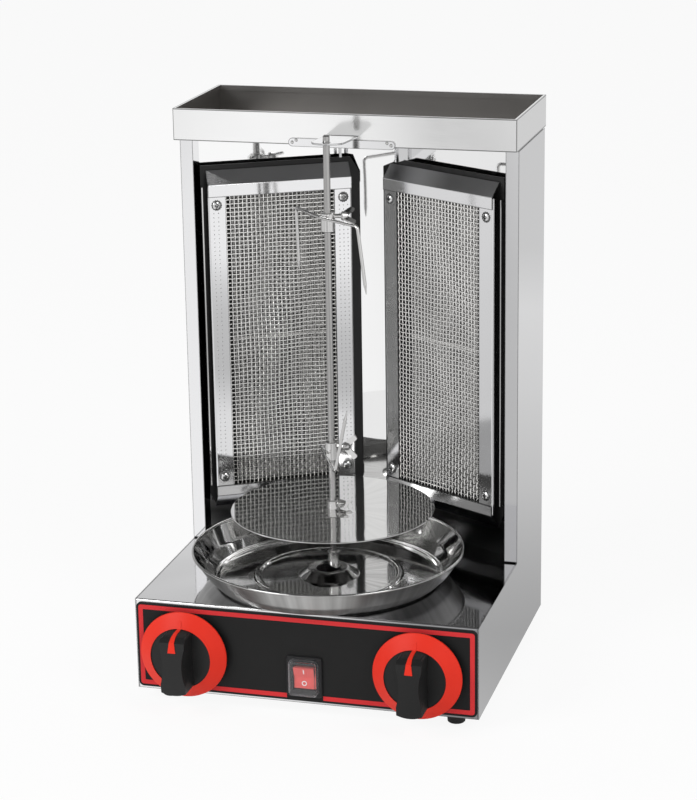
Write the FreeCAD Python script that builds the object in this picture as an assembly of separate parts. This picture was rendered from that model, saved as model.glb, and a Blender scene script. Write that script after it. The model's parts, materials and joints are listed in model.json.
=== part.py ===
"""Table-top gas grill with two standing burners, an upright motor-driven spit and a drip pan.

Drawing frame, in millimetres: x = 0 is the middle of the grill, y = 0 is the front face of the
base and y grows towards the back, z = 0 is the lower edge of the base.  export() moves each
piece to the row frame, whose origin lies on the table under the middle of the grill's box.
"""
import FreeCAD, Part
import math
import os
from FreeCAD import Vector, Placement, Rotation

# Cabinet
base_width = 320.0
base_height = 87.0
sheet = 1.0
column_front = 166.0
column_depth = 120.0
column_face = 12.3
column_return = 31.0
column_top = 478.8
column_foot_gap = 1.2
roof_thickness = 2.0
roof_inset = 1.5
flange = 12.0

# Feet and their screws
foot_height = 12.0
foot_top_radius = 9.0
foot_tip_radius = 7.4
foot_seat_radius = 4.6
foot_seat_height = 4.0
foot_inset_x = 25.0
foot_inset_y = 20.0
foot_screw_radius = 2.0
foot_screw_head_radius = 4.2
foot_screw_head = 2.2
foot_screw_end = 3.0
screw_clearance = 0.1

# Vent slots: (half length, height, pitch)
plate_slots = (22.0, 4.0, 12.0)
back_low_slots = (25.0, 3.5, 9.0)
back_high_slots = (30.0, 3.5, 10.0)

# Bent liner behind the burners
liner_corner_setback = 17.0
liner_behind_burner = 15.1
liner_lap = 13.0
burner_angle = 30.0

# Top tray
tray_overhang = 1.0
tray_reach = 15.2
tray_height = 29.3
tray_hem = 2.4
tray_hem_drop = 5.0

# Control panel
fascia_side_gap = 1.2
fascia_bottom = 2.3
fascia_top_gap = 2.7
fascia_thickness = 1.2
fascia_corner = 5.0
line_inset = 2.2
line_width = 4.2
line_thickness = 0.25
knob_drop = 3.3
knob_inset_left = 48.0
knob_inset_right = 54.0
knob_ring_radius = 41.0
knob_face_radius = 28.4
knob_gap = 3.5
knob_rim = 4.0
knob_ring_depth = 10.5
knob_reach = 41.0
grip_end_half_width = 11.6
grip_mid_half_width = 8.8
grip_half_length = 28.0
pointer_wide = 7.2
pointer_narrow = 1.8
pointer_proud = 0.6
stem_radius = 4.0
switch_width = 33.5
switch_height = 38.5
switch_z = 26.5
rocker_width = 19.0
rocker_height = 22.6
rocker_rest_tilt = 9.0
rocker_pivot_y = 1.5
rocker_pin_radius = 1.5
rocker_pin_length = 1.7

# Spit and drive
spit_y = 100.0
spit_radius = 3.1
spit_end_gap = 0.3
spit_top_rise = 19.5
spit_square = 4.4
socket_rise = 23.0
socket_hole_depth = 16.0
socket_radius = 5.3
socket_flange = 0.7
socket_bottom = 72.0
drive_shaft_radius = 4.0
running_clearance = 0.07
square_clearance = 0.1
collar_radius = 6.2
collar_height = 17.0
lower_collar_rise = 113.0
upper_collar_drop = 67.3
collar_screw_height = 13.6
wire_radius = 1.5
disc_radius = 94.0
disc_rise = 64.2
disc_thickness = 1.2
disc_bore_radius = 3.9
hub_radius = 4.8
hub_lip = 1.4
hub_lip_height = 1.6
hub_height = 8.0
hub_screw_rise = 5.0
wing_angle = 42.0
wing_thickness = 1.8
wing_width = 5.0
wing_screw_radius = 2.0
wing_boss_radius = 4.3
screw_turn = {"disc": 0.0, "lower": -4.0, "upper": 20.0}
screw_roll = {"disc": 90.0, "lower": 0.0, "upper": -62.0}
screw_boss_start = {"disc": 6.2, "lower": 12.0, "upper": 12.0}
screw_wing_length = {"disc": 8.0, "lower": 11.5, "upper": 11.5}

# Drip pan, lying loose round the drive socket
pan_x = -4.5
pan_y = 98.2
pan_rim_radius = 126.6
pan_height = 28.0
pan_thickness = 0.8
pan_bead_radius = 1.3
pan_rest_gap = 0.3
pan_hole_radius = 11.7
pan_hole_height = 6.4
pan_cone_radius = 18.7
pan_cone_height = 7.4
pan_cone_foot_radius = 28.0
pan_ridge_radii = (63.0, 64.8, 68.2, 70.0)
pan_ridge_height = 1.9
pan_step_radii = (101.5, 103.5, 106.0)
pan_step_height = 1.1
pan_wall_radius = 114.5
pan_wall_height = 10.0

# Burners: each is drawn in its own frame, x from its inner edge, y backwards, z as the grill's
burner_inner_x = 15.8
burner_side_gap = 24.69
burner_setback = 2.9
burner_rise = 43.5
burner_roof_gap = 43.3
frame_side_strip = 16.7
frame_top_strip = 11.4
frame_bottom_strip = 10.1
frame_return = 4.0
flap_rise = 13.5
shield_depth = 10.0
shield_thickness = 1.2
shield_overhang_inner = 10.2
shield_overhang_outer = 4.8
shield_rise = 3.5
shield_lip = 3.5
shield_lip_start = 9.5
shield_lip_end = 3.0
mesh_pitch = 4.0
mesh_wire = 1.0
mesh_depth = 1.0
mesh_margin = 5.0
plaque_side_gap = 6.3
plaque_end_gap = 11.5
plaque_thickness = 13.0
plaque_joint = 1.0
plaque_depth = 12.0
body_depth = 38.0
body_margin = 5.0
body_rim = 9.0
body_wall = 3.0
liner_window_gap = 1.5
mixing_tube_radius = 10.0
mixing_tube_depth = 30.0
burner_screw_radius = 1.9
burner_screw_length = 13.5
burner_screw_inset = 8.0
burner_screw_rise = 19.3
hanger_half_width = 1.1

# Gas supply
rail_y = 54.0
rail_radius = 7.0
inlet_inset = 100.0
inlet_bore_radius = 4.0
inlet_nut_radius = 15.5
grommet_inset = 42.0
grommet_z = 40.0
grommet_hole_radius = 5.0
inlet_thread_radius = 10.48
inlet_thread_length = 18.0
inlet_nut_thickness = 5.0
gas_tube_radius = 3.0
gas_tube_bend = 7.0
tap_outlet_y = 38.0
tap_outlet_rise = 18.0
injector_seat = 40.0

# Motor under the spit
motor_radius = 27.0
motor_bottom = 5.0
gearbox_half = 30.0
gearbox_bottom = 44.0
gearbox_top = 68.0
gearbox_corner = 8.0
gearbox_boss = 3.0
shaft_end_gap = 1.0
shaft_bottom = 50.0
motor_strap = 1.5
motor_strap_half_depth = 24.0
motor_strap_gap = 4.5
motor_tab = 14.0

# Bracket that holds the top of the spit
bracket_sheet = 1.5
bracket_half_length = 50.0
bracket_low_gap = 1.6
bracket_height = 7.9
tongue_half_width = 15.0
tongue_rise = 9.6
tongue_reach = 59.8
tongue_tip_rise = 3.6
spit_hole_radius = 3.7
rivet_shank_radius = 1.0
rivet_head_radius = 1.5

# Worked-out places
half_width = base_width / 2.0
base_depth = column_front + column_depth
fascia_width = base_width - 2.0 * fascia_side_gap
fascia_height = base_height - fascia_bottom - fascia_top_gap
knob_z = fascia_bottom + fascia_height / 2.0 - knob_drop
rail_z = knob_z
knob_x = {"left": knob_inset_left - half_width, "right": half_width - knob_inset_right}
inlet_x = half_width - inlet_inset
grommet_x = half_width - grommet_inset
tray_width = base_width + 2.0 * tray_overhang
tray_front = column_front - tray_reach
tray_back = base_depth + tray_overhang
tray_bottom = column_top + roof_thickness
tray_top = tray_bottom + tray_height
socket_top = base_height + socket_rise
socket_floor = socket_top - socket_hole_depth
spit_bottom = socket_floor + spit_end_gap
spit_top = tray_bottom + spit_top_rise
disc_bottom = base_height + disc_rise
lower_collar_bottom = base_height + lower_collar_rise
upper_collar_bottom = tray_bottom - upper_collar_drop
burner_cos = math.cos(math.radians(burner_angle))
burner_sin = math.sin(math.radians(burner_angle))
burner_width = (half_width - burner_side_gap - burner_inner_x) / burner_cos
burner_inner_y = column_front + burner_setback + burner_width * burner_sin
burner_bottom = base_height + burner_rise
burner_height = column_top - burner_roof_gap - burner_bottom
plaque_width = burner_width - 2.0 * (frame_side_strip + plaque_side_gap)
plaque_height = burner_height / 2.0 - plaque_end_gap
liner_corner_y = column_front + liner_corner_setback
liner_back_y = burner_inner_y + liner_behind_burner
burner_top = burner_bottom + burner_height
burner_middle = burner_width / 2.0
burner_mid_z = burner_bottom + burner_height / 2.0
front_reach = -knob_reach
rear_reach = base_depth + inlet_nut_thickness + inlet_thread_length
row_shift = Vector(0.0, -(front_reach + rear_reach) / 2.0, foot_height)
left = -1.0
right = 1.0


def box(x0, x1, y0, y1, z0, z1):
    return Part.makeBox(x1 - x0, y1 - y0, z1 - z0, Vector(x0, y0, z0))


def rod(radius, start, end):
    """A round bar between two points."""
    start = Vector(*start)
    run = Vector(*end) - start
    return Part.makeCylinder(radius, run.Length, start, run)


def prism(points, push):
    """A flat polygon of 3-D points pushed along a vector."""
    corners = [Vector(*p) for p in points]
    return Part.Face(Part.makePolygon(corners + corners[:1])).extrude(Vector(*push))


def fuse(pieces):
    return pieces[0].multiFuse(pieces[1:]).removeSplitter()


def rounded_plate(x0, x1, z0, z1, y0, y1, corner):
    """An upright plate facing the front, with rounded corners."""
    plate = box(x0, x1, y0, y1, z0, z1)
    return plate.makeFillet(corner, edges_along(plate, Vector(0, 1, 0)))


def edges_along(shape, direction):
    """The straight edges of a shape that run along a direction."""
    found = []
    for edge in shape.Edges:
        run = edge.Vertexes[-1].Point - edge.Vertexes[0].Point
        if run.Length > 1e-6 and abs(abs(run.normalize().dot(direction)) - 1.0) < 1e-6:
            found.append(edge)
    return found


def revolve(outline, centre, axis=Vector(0, 0, 1)):
    """Turn a closed outline of (radius, height) points round an upright or given axis."""
    turn = Rotation(Vector(0, 0, 1), axis)
    points = [Vector(r, 0, h) for r, h in outline]
    face = Part.Face(Part.makePolygon(points + points[:1]))
    solid = face.revolve(Vector(0, 0, 0), Vector(0, 0, 1), 360)
    solid.Placement = Placement(Vector(*centre), turn)
    return solid


def rounded_edges(points, bends):
    """Straight runs through points, each inner corner replaced by an arc of its own radius."""
    points = [Vector(*p) for p in points]
    edges = []
    start = points[0]
    for before, corner, after, bend in zip(points, points[1:], points[2:], bends):
        back = (before - corner).normalize()
        ahead = (after - corner).normalize()
        half = back.getAngle(ahead) / 2.0
        reach = bend / math.tan(half)
        first = corner + back * reach
        last = corner + ahead * reach
        inward = (back + ahead).normalize()
        middle = corner + inward * (bend / math.sin(half) - bend)
        edges.append(Part.LineSegment(start, first).toShape())
        edges.append(Part.Arc(first, middle, last).toShape())
        start = last
    edges.append(Part.LineSegment(start, points[-1]).toShape())
    return edges


def offset_line(points, shift):
    """The (u, v) corner points of a line that runs beside another, shifted to its left."""
    moved = []
    for index, (u, v) in enumerate(points):
        runs = []
        if index > 0:
            runs.append((u - points[index - 1][0], v - points[index - 1][1]))
        if index < len(points) - 1:
            runs.append((points[index + 1][0] - u, points[index + 1][1] - v))
        normals = [(-b / math.hypot(a, b), a / math.hypot(a, b)) for a, b in runs]
        n_u = sum(n[0] for n in normals) / len(normals)
        n_v = sum(n[1] for n in normals) / len(normals)
        scale = shift / (n_u * n_u + n_v * n_v)
        moved.append((u + n_u * scale, v + n_v * scale))
    return moved


def bent_sheet_face(points, thickness, bend):
    """Section of a bent sheet whose middle line runs through (u, v) points, drawn with u on X and v on Z."""
    turns = []
    for a, b, c in zip(points, points[1:], points[2:]):
        cross = (b[0] - a[0]) * (c[1] - b[1]) - (b[1] - a[1]) * (c[0] - b[0])
        turns.append(math.copysign(1.0, cross))
    sides = []
    for way in (1.0, -1.0):
        line = [(u, 0, v) for u, v in offset_line(points, way * thickness / 2.0)]
        radii = [bend - way * turn * thickness / 2.0 for turn in turns]
        sides.append((line, rounded_edges(line, radii)))
    (line_a, edges_a), (line_b, edges_b) = sides
    caps = [Part.LineSegment(Vector(*line_a[end]), Vector(*line_b[end])).toShape() for end in (0, -1)]
    outline = Part.Wire(Part.__sortEdges__(edges_a + edges_b + caps))
    return Part.Face(outline)


def bent_bar_along_x(points, thickness, bend, x0, x1):
    """A bent sheet with its section in the (y, z) plane, running from x0 to x1."""
    face = bent_sheet_face(points, thickness, bend)
    face.rotate(Vector(0, 0, 0), Vector(0, 0, 1), 90)
    face.translate(Vector(x0, 0, 0))
    return face.extrude(Vector(x1 - x0, 0, 0))


def bent_bar_along_z(points, thickness, bend, z0, z1):
    """A bent sheet with its section in the (x, y) plane, running from z0 to z1."""
    face = bent_sheet_face(points, thickness, bend)
    face.rotate(Vector(0, 0, 0), Vector(1, 0, 0), -90)
    face.translate(Vector(0, 0, z0))
    return face.extrude(Vector(0, 0, z1 - z0))


def tube_along(points, radius, bend):
    """A round bar swept along straight runs joined by arcs of one radius."""
    route = Part.Wire(rounded_edges(points, [bend] * (len(points) - 2)))
    start = Vector(*points[0])
    run = Vector(*points[1]) - start
    ring = Part.Wire(Part.Circle(start, run, radius).toShape())
    return route.makePipeShell([ring], True, False)


def pan_head_screw(place, inward, length, radius):
    """A screw whose head sits on a face at place and whose shank runs inward."""
    head = revolve([(0, -2.2), (2.6, -2.0), (4.0, -0.9), (4.0, 0), (0, 0)], place, Vector(*inward))
    shank = Part.makeCylinder(radius, length, Vector(*place), Vector(*inward))
    return head.fuse(shank).removeSplitter()


def export(name, shape):
    moved = shape.copy()
    moved.translate(row_shift)
    moved.exportStep("parts/" + name + ".step")


def export_group(name, solids):
    export(name, Part.makeCompound(solids))


# Cabinet pieces

burner_heading = Rotation(Vector(0, 0, 1), -burner_angle)
tube_local = (burner_middle, mixing_tube_depth, 0.0)


def burner_to_grill(shape, side):
    """Set a burner piece at the right wall, or mirror it to the left one."""
    placed = shape.copy()
    placed.Placement = Placement(Vector(burner_inner_x, burner_inner_y, 0), burner_heading)
    if side == left:
        placed = placed.mirror(Vector(0, 0, 0), Vector(1, 0, 0))
    return placed


def burner_point(side, across, deep, z):
    """The grill position of a point given in a burner's own frame."""
    turned = burner_heading.multVec(Vector(across, deep, 0))
    return (side * (burner_inner_x + turned.x), burner_inner_y + turned.y, z)


def base_top():
    """Top and front of the base, one folded sheet with a rounded front edge."""
    inner = half_width - sheet
    block = box(-inner, inner, 0, base_depth - sheet, 0, base_height)
    nose = [edge for edge in edges_along(block, Vector(1, 0, 0))
            if edge.CenterOfMass.y < 1 and edge.CenterOfMass.z > base_height - 1]
    block = block.makeFillet(1.8, nose)
    hollow = box(-inner, inner, sheet, base_depth, -1, base_height - sheet)
    shell = block.cut(hollow)
    shell = shell.cut(rod(socket_radius + 2.2, (0, spit_y, 0), (0, spit_y, base_height + 1)))
    for side in (left, right):
        x, y, _ = burner_point(side, burner_middle, mixing_tube_depth, 0)
        shell = shell.cut(rod(mixing_tube_radius + 3.0, (x, y, 70), (x, y, base_height + 1)))
    return shell.cut(stem_holes()).cut(switch_cutout())


def stem_holes():
    """Clearance holes for the valve stems through the panel and the front of the base."""
    start = -fascia_thickness - 1
    return Part.makeCompound([rod(stem_radius + 1.5, (x, start, knob_z), (x, sheet + 1, knob_z))
                              for x in knob_x.values()])


def switch_cutout():
    half = switch_width / 2.0 - 3.0
    tall = switch_height / 2.0 - 3.0
    return box(-half, half, -fascia_thickness - 1, sheet + 1, switch_z - tall, switch_z + tall)


def slot_grid(slot, columns, rows, cut):
    """Cutters for rows of vent slots: cut(x, step) gives each box for a column and a distance up."""
    return Part.makeCompound([cut(x, row * slot[2]) for row in range(rows) for x in columns])


def base_plate():
    """Bottom sheet with rows of vent slots and a hole at each foot."""
    plate = box(-half_width + sheet, half_width - sheet, sheet, base_depth - sheet, 0, sheet)
    half, wide, _ = plate_slots
    first = base_depth - 126.0
    plate = plate.cut(slot_grid(plate_slots, (-70.0, 0.0, 70.0), 6, lambda x, step: box(
        x - half, x + half, first + step, first + step + wide, -1, sheet + 1)))
    bore = foot_screw_radius + screw_clearance
    holes = [rod(bore, (x, y, -1), (x, y, sheet + 1)) for x, y in foot_places()]
    return plate.cut(Part.makeCompound(holes))


def foot_places():
    x = half_width - foot_inset_x
    return [(side * x, y) for side in (left, right) for y in (foot_inset_y, base_depth - foot_inset_y)]


def feet():
    """Tapered rubber feet with a sunk seat for the screw."""
    bore = foot_screw_radius + screw_clearance
    seat = foot_seat_height - foot_height
    outline = [(bore, seat), (foot_seat_radius, seat), (foot_seat_radius, -foot_height),
               (foot_tip_radius, -foot_height), (foot_tip_radius + 0.6, -foot_height + 0.6),
               (foot_top_radius, 0), (bore, 0)]
    return [revolve(outline, (x, y, 0)) for x, y in foot_places()]


def foot_screws():
    """Screws that hold the feet, their heads sunk in the rubber."""
    seat = foot_seat_height - foot_height
    end = sheet + foot_screw_end
    outline = [(0, seat - foot_screw_head), (foot_screw_head_radius - 0.6, seat - foot_screw_head + 0.4),
               (foot_screw_head_radius, seat), (foot_screw_radius, seat), (foot_screw_radius, end), (0, end)]
    return [revolve(outline, (x, y, 0)) for x, y in foot_places()]


def side_panel(side):
    """One L-shaped side sheet with its column face, return and top flange."""
    outline = [(0, 0), (base_depth, 0), (base_depth, column_top),
               (column_front, column_top), (column_front, base_height), (0, base_height)]
    web = prism([(half_width - sheet, y, z) for y, z in outline], (sheet, 0, 0))
    face_in = half_width - column_face
    foot = base_height + column_foot_gap
    face = box(face_in, half_width, column_front, column_front + sheet, foot, column_top)
    back = box(face_in, face_in + sheet, column_front, column_front + column_return, foot, column_top)
    top = box(half_width - flange, half_width, column_front, base_depth - sheet,
              column_top - sheet, column_top)
    panel = fuse([web, face, back, top])
    if side == left:
        panel = panel.mirror(Vector(0, 0, 0), Vector(1, 0, 0))
    return panel


def back_panel():
    """Rear sheet with a ladder of vent slots low down and two more behind the burners."""
    inner = half_width - sheet
    panel = box(-inner, inner, base_depth - sheet, base_depth, 0, column_top)
    for slot, columns, rows, low in ((back_low_slots, (-95.0, -30.0), 5, 28.0),
                                     (back_high_slots, (-85.0, 85.0), 8, column_top - 98.8)):
        half, high, _ = slot
        panel = panel.cut(slot_grid(slot, columns, rows, lambda x, step: box(
            x - half, x + half, base_depth - 3, base_depth + 1, low + step, low + step + high)))
    feed_hole = rod(rail_radius, (inlet_x, base_depth - 3, rail_z), (inlet_x, base_depth + 1, rail_z))
    grommet_hole = rod(grommet_hole_radius, (grommet_x, base_depth - 3, grommet_z),
                       (grommet_x, base_depth + 1, grommet_z))
    return panel.cut(feed_hole).cut(grommet_hole)


def cable_grommet():
    """Rubber ring in the round opening for the motor's supply, gripping the sheet in its groove."""
    bore = grommet_hole_radius - 2.0
    neck = grommet_hole_radius
    rim = grommet_hole_radius + 2.5
    outline = [(bore, -2.0), (rim, -2.0), (rim, 0.0), (neck, 0.0), (neck, sheet), (rim, sheet),
               (rim, sheet + 1.6), (rim - 0.9, sheet + 2.2), (bore + 0.6, sheet + 2.2), (bore, sheet + 1.6)]
    return revolve(outline, (grommet_x, base_depth - sheet, grommet_z), Vector(0, 1, 0))


def back_liner():
    """Polished sheet bent round the back of the cooking space, with a window for each burner."""
    edge_x = half_width - column_face
    slope = math.tan(math.radians(burner_angle))
    bend_x = edge_x - (liner_back_y - liner_corner_y) / slope
    plan = [(-edge_x, liner_corner_y), (-bend_x, liner_back_y), (bend_x, liner_back_y),
            (edge_x, liner_corner_y)]
    thick = sheet / math.cos(math.radians(burner_angle))
    behind = [(edge_x, liner_corner_y + liner_lap), (edge_x - sheet, liner_corner_y + liner_lap),
              (edge_x - sheet, liner_corner_y + thick + sheet * slope)]
    bend_back = bend_x - sheet * math.tan(math.radians(burner_angle / 2.0))
    back_run = [(bend_x, liner_back_y + sheet), (-bend_x, liner_back_y + sheet)]
    outline = plan + behind + back_run + [(-x, y) for x, y in reversed(behind)]
    liner = prism([(x, y, base_height) for x, y in outline], (0, 0, column_top - base_height))
    half = plaque_width / 2.0 + body_margin + liner_window_gap - 0.5
    tall = plaque_height + body_margin + liner_window_gap
    window = box(burner_middle - half, burner_middle + half, shield_depth + 2.5, body_depth - 6,
                 burner_mid_z - tall, burner_mid_z + tall)
    for side in (left, right):
        liner = liner.cut(burner_to_grill(window, side))
    return liner


def roof_plate():
    inner = half_width - roof_inset
    return box(-inner, inner, column_front + roof_inset, base_depth - roof_inset, column_top, tray_bottom)


def top_tray():
    """Open folded tray with an inward hem round its rim."""
    half = tray_width / 2.0
    outer = box(-half, half, tray_front, tray_back, tray_bottom, tray_top)
    outer = outer.makeFillet(1.2, edges_along(outer, Vector(0, 0, 1)))
    inner = box(-half + sheet, half - sheet, tray_front + sheet, tray_back - sheet,
                tray_bottom + sheet, tray_top - tray_hem_drop)
    mouth = box(-half + tray_hem, half - tray_hem, tray_front + tray_hem, tray_back - tray_hem,
                tray_top - tray_hem_drop - 1, tray_top + 1)
    return outer.cut(inner).cut(mouth).cut(rivet_holes())


def spit_bracket():
    """Riveted strip with a tongue that bends forward over the spit."""
    low = tray_bottom - bracket_low_gap
    high = low + bracket_height
    root = tray_bottom + tongue_rise
    wall = tray_front
    strip = rounded_plate(-bracket_half_length, bracket_half_length, low, high,
                          wall - bracket_sheet, wall, bracket_height / 2.0 - 0.05)
    mid = bracket_sheet / 2.0
    front = wall - tongue_reach
    line = [(wall - mid, high - bracket_height / 2.0), (wall - mid, root - mid),
            (front, root + tongue_tip_rise - mid)]
    tongue = bent_bar_along_x(line, bracket_sheet, 2.0, -tongue_half_width, tongue_half_width)
    centre_y = front + tongue_half_width
    below = low - 5.0
    above = root + 20.0
    keep = rod(tongue_half_width, (0, centre_y, below), (0, centre_y, above))
    keep = keep.fuse(box(-tongue_half_width, tongue_half_width, centre_y, wall + 1, below, above))
    bracket = fuse([strip, tongue.common(keep)])
    bracket = bracket.cut(rod(spit_hole_radius, (0, spit_y, below), (0, spit_y, above)))
    return bracket.cut(rivet_holes())


def rivet_places():
    """Two rivets at each end of the strip, one above the other and a little further out below."""
    places = []
    for side in (left, right):
        places.append((side * (bracket_half_length - 7.5), tray_bottom + 4.4))
        places.append((side * (bracket_half_length - 3.7), tray_bottom + 2.3))
    return places


def rivet_holes():
    return Part.makeCompound([rod(rivet_shank_radius, (x, tray_front - bracket_sheet - 1, z),
                                  (x, tray_front + sheet + 1, z)) for x, z in rivet_places()])


def bracket_rivets():
    """Domed rivets through the strip and the tray's front wall."""
    grip = bracket_sheet + sheet
    shank = rivet_shank_radius
    outline = [(0, -1.0), (0.9, -0.8), (rivet_head_radius, 0), (shank, 0), (shank, grip),
               (shank + 0.2, grip), (0.9, grip + 0.6), (0, grip + 0.6)]
    return [revolve(outline, (x, tray_front - bracket_sheet, z), Vector(0, 1, 0)) for x, z in rivet_places()]


# Control panel

def control_fascia():
    half = fascia_width / 2.0
    plate = rounded_plate(-half, half, fascia_bottom, fascia_bottom + fascia_height,
                          -fascia_thickness, 0, fascia_corner)
    return plate.cut(stem_holes()).cut(switch_cutout())


def fascia_line():
    """Thin coloured band round the panel, broken where the switch covers it."""
    half = fascia_width / 2.0 - line_inset
    low = fascia_bottom + line_inset
    high = fascia_bottom + fascia_height - line_inset
    front = -fascia_thickness - line_thickness
    outer = rounded_plate(-half, half, low, high, front, -fascia_thickness, 2.6)
    inner = rounded_plate(-half + line_width, half - line_width, low + line_width, high - line_width,
                          front - 1, 0, 0.8)
    gap = switch_width / 2.0 + 0.3
    band = outer.cut(inner).cut(box(-gap, gap, front - 1, 0, low - 1, low + line_width + 3))
    return band


def switch_body():
    """Black rocker housing: a rounded bezel on the panel and a box with terminals behind it."""
    half = switch_width / 2.0
    tall = switch_height / 2.0
    front = -fascia_thickness
    bezel = rounded_plate(-half, half, switch_z - tall, switch_z + tall, front - 2.6, front, 3.0)
    rim = [edge for edge in bezel.Edges if abs(edge.CenterOfMass.y - (front - 2.6)) < 0.01]
    bezel = bezel.makeChamfer(0.8, rim)
    housing = box(-half + 3.4, half - 3.4, front, 22, switch_z - tall + 3.4, switch_z + tall - 3.4)
    well_x = rocker_width / 2.0 + 0.4
    well_z = rocker_height / 2.0 + 0.6
    well = box(-well_x, well_x, -12, 12, switch_z - well_z, switch_z + well_z)
    blades = [box(x - 3.2, x + 3.2, 22, 30, z - 0.4, z + 0.4)
              for x in (-5.5, 5.5) for z in (switch_z - 8, switch_z + 8)]
    reach = rocker_width / 2.0 + rocker_pin_length + 0.2
    sockets = rod(rocker_pin_radius + running_clearance, (-reach, rocker_pivot_y, switch_z),
                  (reach, rocker_pivot_y, switch_z))
    return fuse([bezel, housing] + blades).cut(well).cut(sockets)


def switch_rocker():
    """Rocker with two inclined finger faces and side pins, stored with its lower half pressed in."""
    half = rocker_width / 2.0
    tall = rocker_height / 2.0
    points = [(-5.6, -tall + 0.8), (-4.0, -0.6), (-4.0, 0.6), (-5.6, tall - 0.8),
              (3.0, tall - 2.6), (5.5, 0), (3.0, -tall + 2.6)]
    body = prism([(-half, y, z) for y, z in points], (2 * half, 0, 0))
    reach = half + rocker_pin_length
    body = body.fuse(rod(rocker_pin_radius, (-reach, 0, 0), (reach, 0, 0))).removeSplitter()
    body.translate(Vector(0, rocker_pivot_y, switch_z))
    body.rotate(Vector(0, rocker_pivot_y, switch_z), Vector(1, 0, 0), rocker_rest_tilt)
    return body


def switch_cover():
    """Clear domed hood over the rocker, resting on the bezel."""
    back = -fascia_thickness - 2.6
    half_x = 13.6
    half_z = 17.0
    hood = rounded_plate(-half_x, half_x, switch_z - half_z, switch_z + half_z, back - 5.4, back, 4.0)
    rim = [edge for edge in hood.Edges if abs(edge.CenterOfMass.y - (back - 5.4)) < 0.01]
    hood = hood.makeFillet(2.0, rim)
    room = rounded_plate(-half_x + 1, half_x - 1, switch_z - half_z + 1, switch_z + half_z - 1,
                         back - 4.6, back + 1, 3.0)
    return hood.cut(room)


def knob_ring(side_x):
    """Coloured bevelled skirt of a knob."""
    edge = knob_gap + knob_rim
    outline = [(knob_face_radius, edge), (knob_ring_radius - 0.8, edge), (knob_ring_radius, edge + 0.5),
               (knob_ring_radius - 0.3, edge + 1.6), (knob_face_radius, edge + knob_ring_depth)]
    return revolve(outline, (side_x, 0, knob_z), Vector(0, -1, 0))


def grip_side_profile(extra):
    """Side view of the grip bar as (along, reach) points, grown by extra."""
    face = knob_gap + knob_rim + knob_ring_depth - 1.0
    long = grip_half_length + extra
    top = knob_reach + extra
    arc = []
    for step in range(9):
        along = -long + step * (2.0 * long - 5.0) / 8.0
        sag = 2.4 * (along / long) ** 2
        arc.append((along, top - sag))
    crown = [(long - 1.6, top - 7.0), (long - 0.4, top - 13.0)]
    return [(-long, face - 3.0)] + arc + crown + [(long, face - 3.0)]


def grip_bar(side_x, extra, half_width_here):
    start = side_x - half_width_here
    points = [(start, -reach, knob_z + along) for along, reach in grip_side_profile(extra)]
    return prism(points, (2.0 * half_width_here, 0, 0))


def knob_grip(side_x):
    """Black knob body: rear rim, sunk face and a waisted grip bar across it."""
    edge = knob_gap + knob_rim
    face = edge + knob_ring_depth - 1.0
    outline = [(stem_radius, knob_gap), (knob_ring_radius - 1.6, knob_gap), (knob_ring_radius - 1.2, edge),
               (knob_face_radius, edge), (knob_face_radius, face), (stem_radius, face)]
    body = revolve(outline, (side_x, 0, knob_z), Vector(0, -1, 0))
    bar = grip_bar(side_x, 0.0, grip_end_half_width)
    ends = rod(grip_half_length + 0.01, (side_x, 0, knob_z), (side_x, -60, knob_z))
    bar = bar.common(ends)
    waist = 62.0
    for way in (left, right):
        centre = side_x + way * (grip_mid_half_width + waist)
        scoop = Part.makeCone(waist - 2.4, waist, knob_reach - face + 2, Vector(centre, -face, knob_z),
                              Vector(0, -1, 0))
        bar = bar.cut(scoop)
    bore = rod(stem_radius, (side_x, 0, knob_z), (side_x, -31, knob_z))
    return fuse([body, bar]).cut(bore)


def knob_pointer(side_x, grip, ring):
    """Wedge marker that runs over the end of the grip bar on to the skirt."""
    low = knob_z + 14.0
    high = knob_z + 34.5
    wedge = [(side_x - pointer_wide / 2, 0, low), (side_x + pointer_wide / 2, 0, low),
             (side_x + pointer_narrow / 2, 0, high), (side_x - pointer_narrow / 2, 0, high)]
    wedge = prism(wedge, (0, -60, 0))
    edge = knob_gap + knob_rim
    over_bar = grip_bar(side_x, pointer_proud, grip_end_half_width)
    slope = revolve([(20, edge), (knob_ring_radius, edge + 1.5 + pointer_proud),
                     (knob_face_radius, edge + knob_ring_depth + pointer_proud),
                     (20, edge + knob_ring_depth + pointer_proud)],
                    (side_x, 0, knob_z), Vector(0, -1, 0))
    marker = wedge.common(over_bar.fuse(slope))
    return biggest_solid(marker.cut(grip).cut(ring))


def biggest_solid(shape):
    return max(shape.Solids, key=lambda solid: solid.Volume)


def valve_stem(side_x):
    return rod(stem_radius, (side_x, -30.5, knob_z), (side_x, 22, knob_z))


# Gas supply inside the base

def gas_rail():
    pipe = rod(rail_radius, (knob_x["left"] - 12, rail_y, rail_z), (knob_x["right"] + 12, rail_y, rail_z))
    feed = rod(rail_radius - 1.0, (inlet_x, rail_y, rail_z), (inlet_x, base_depth - sheet - 1, rail_z))
    return fuse([pipe, feed])


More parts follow.
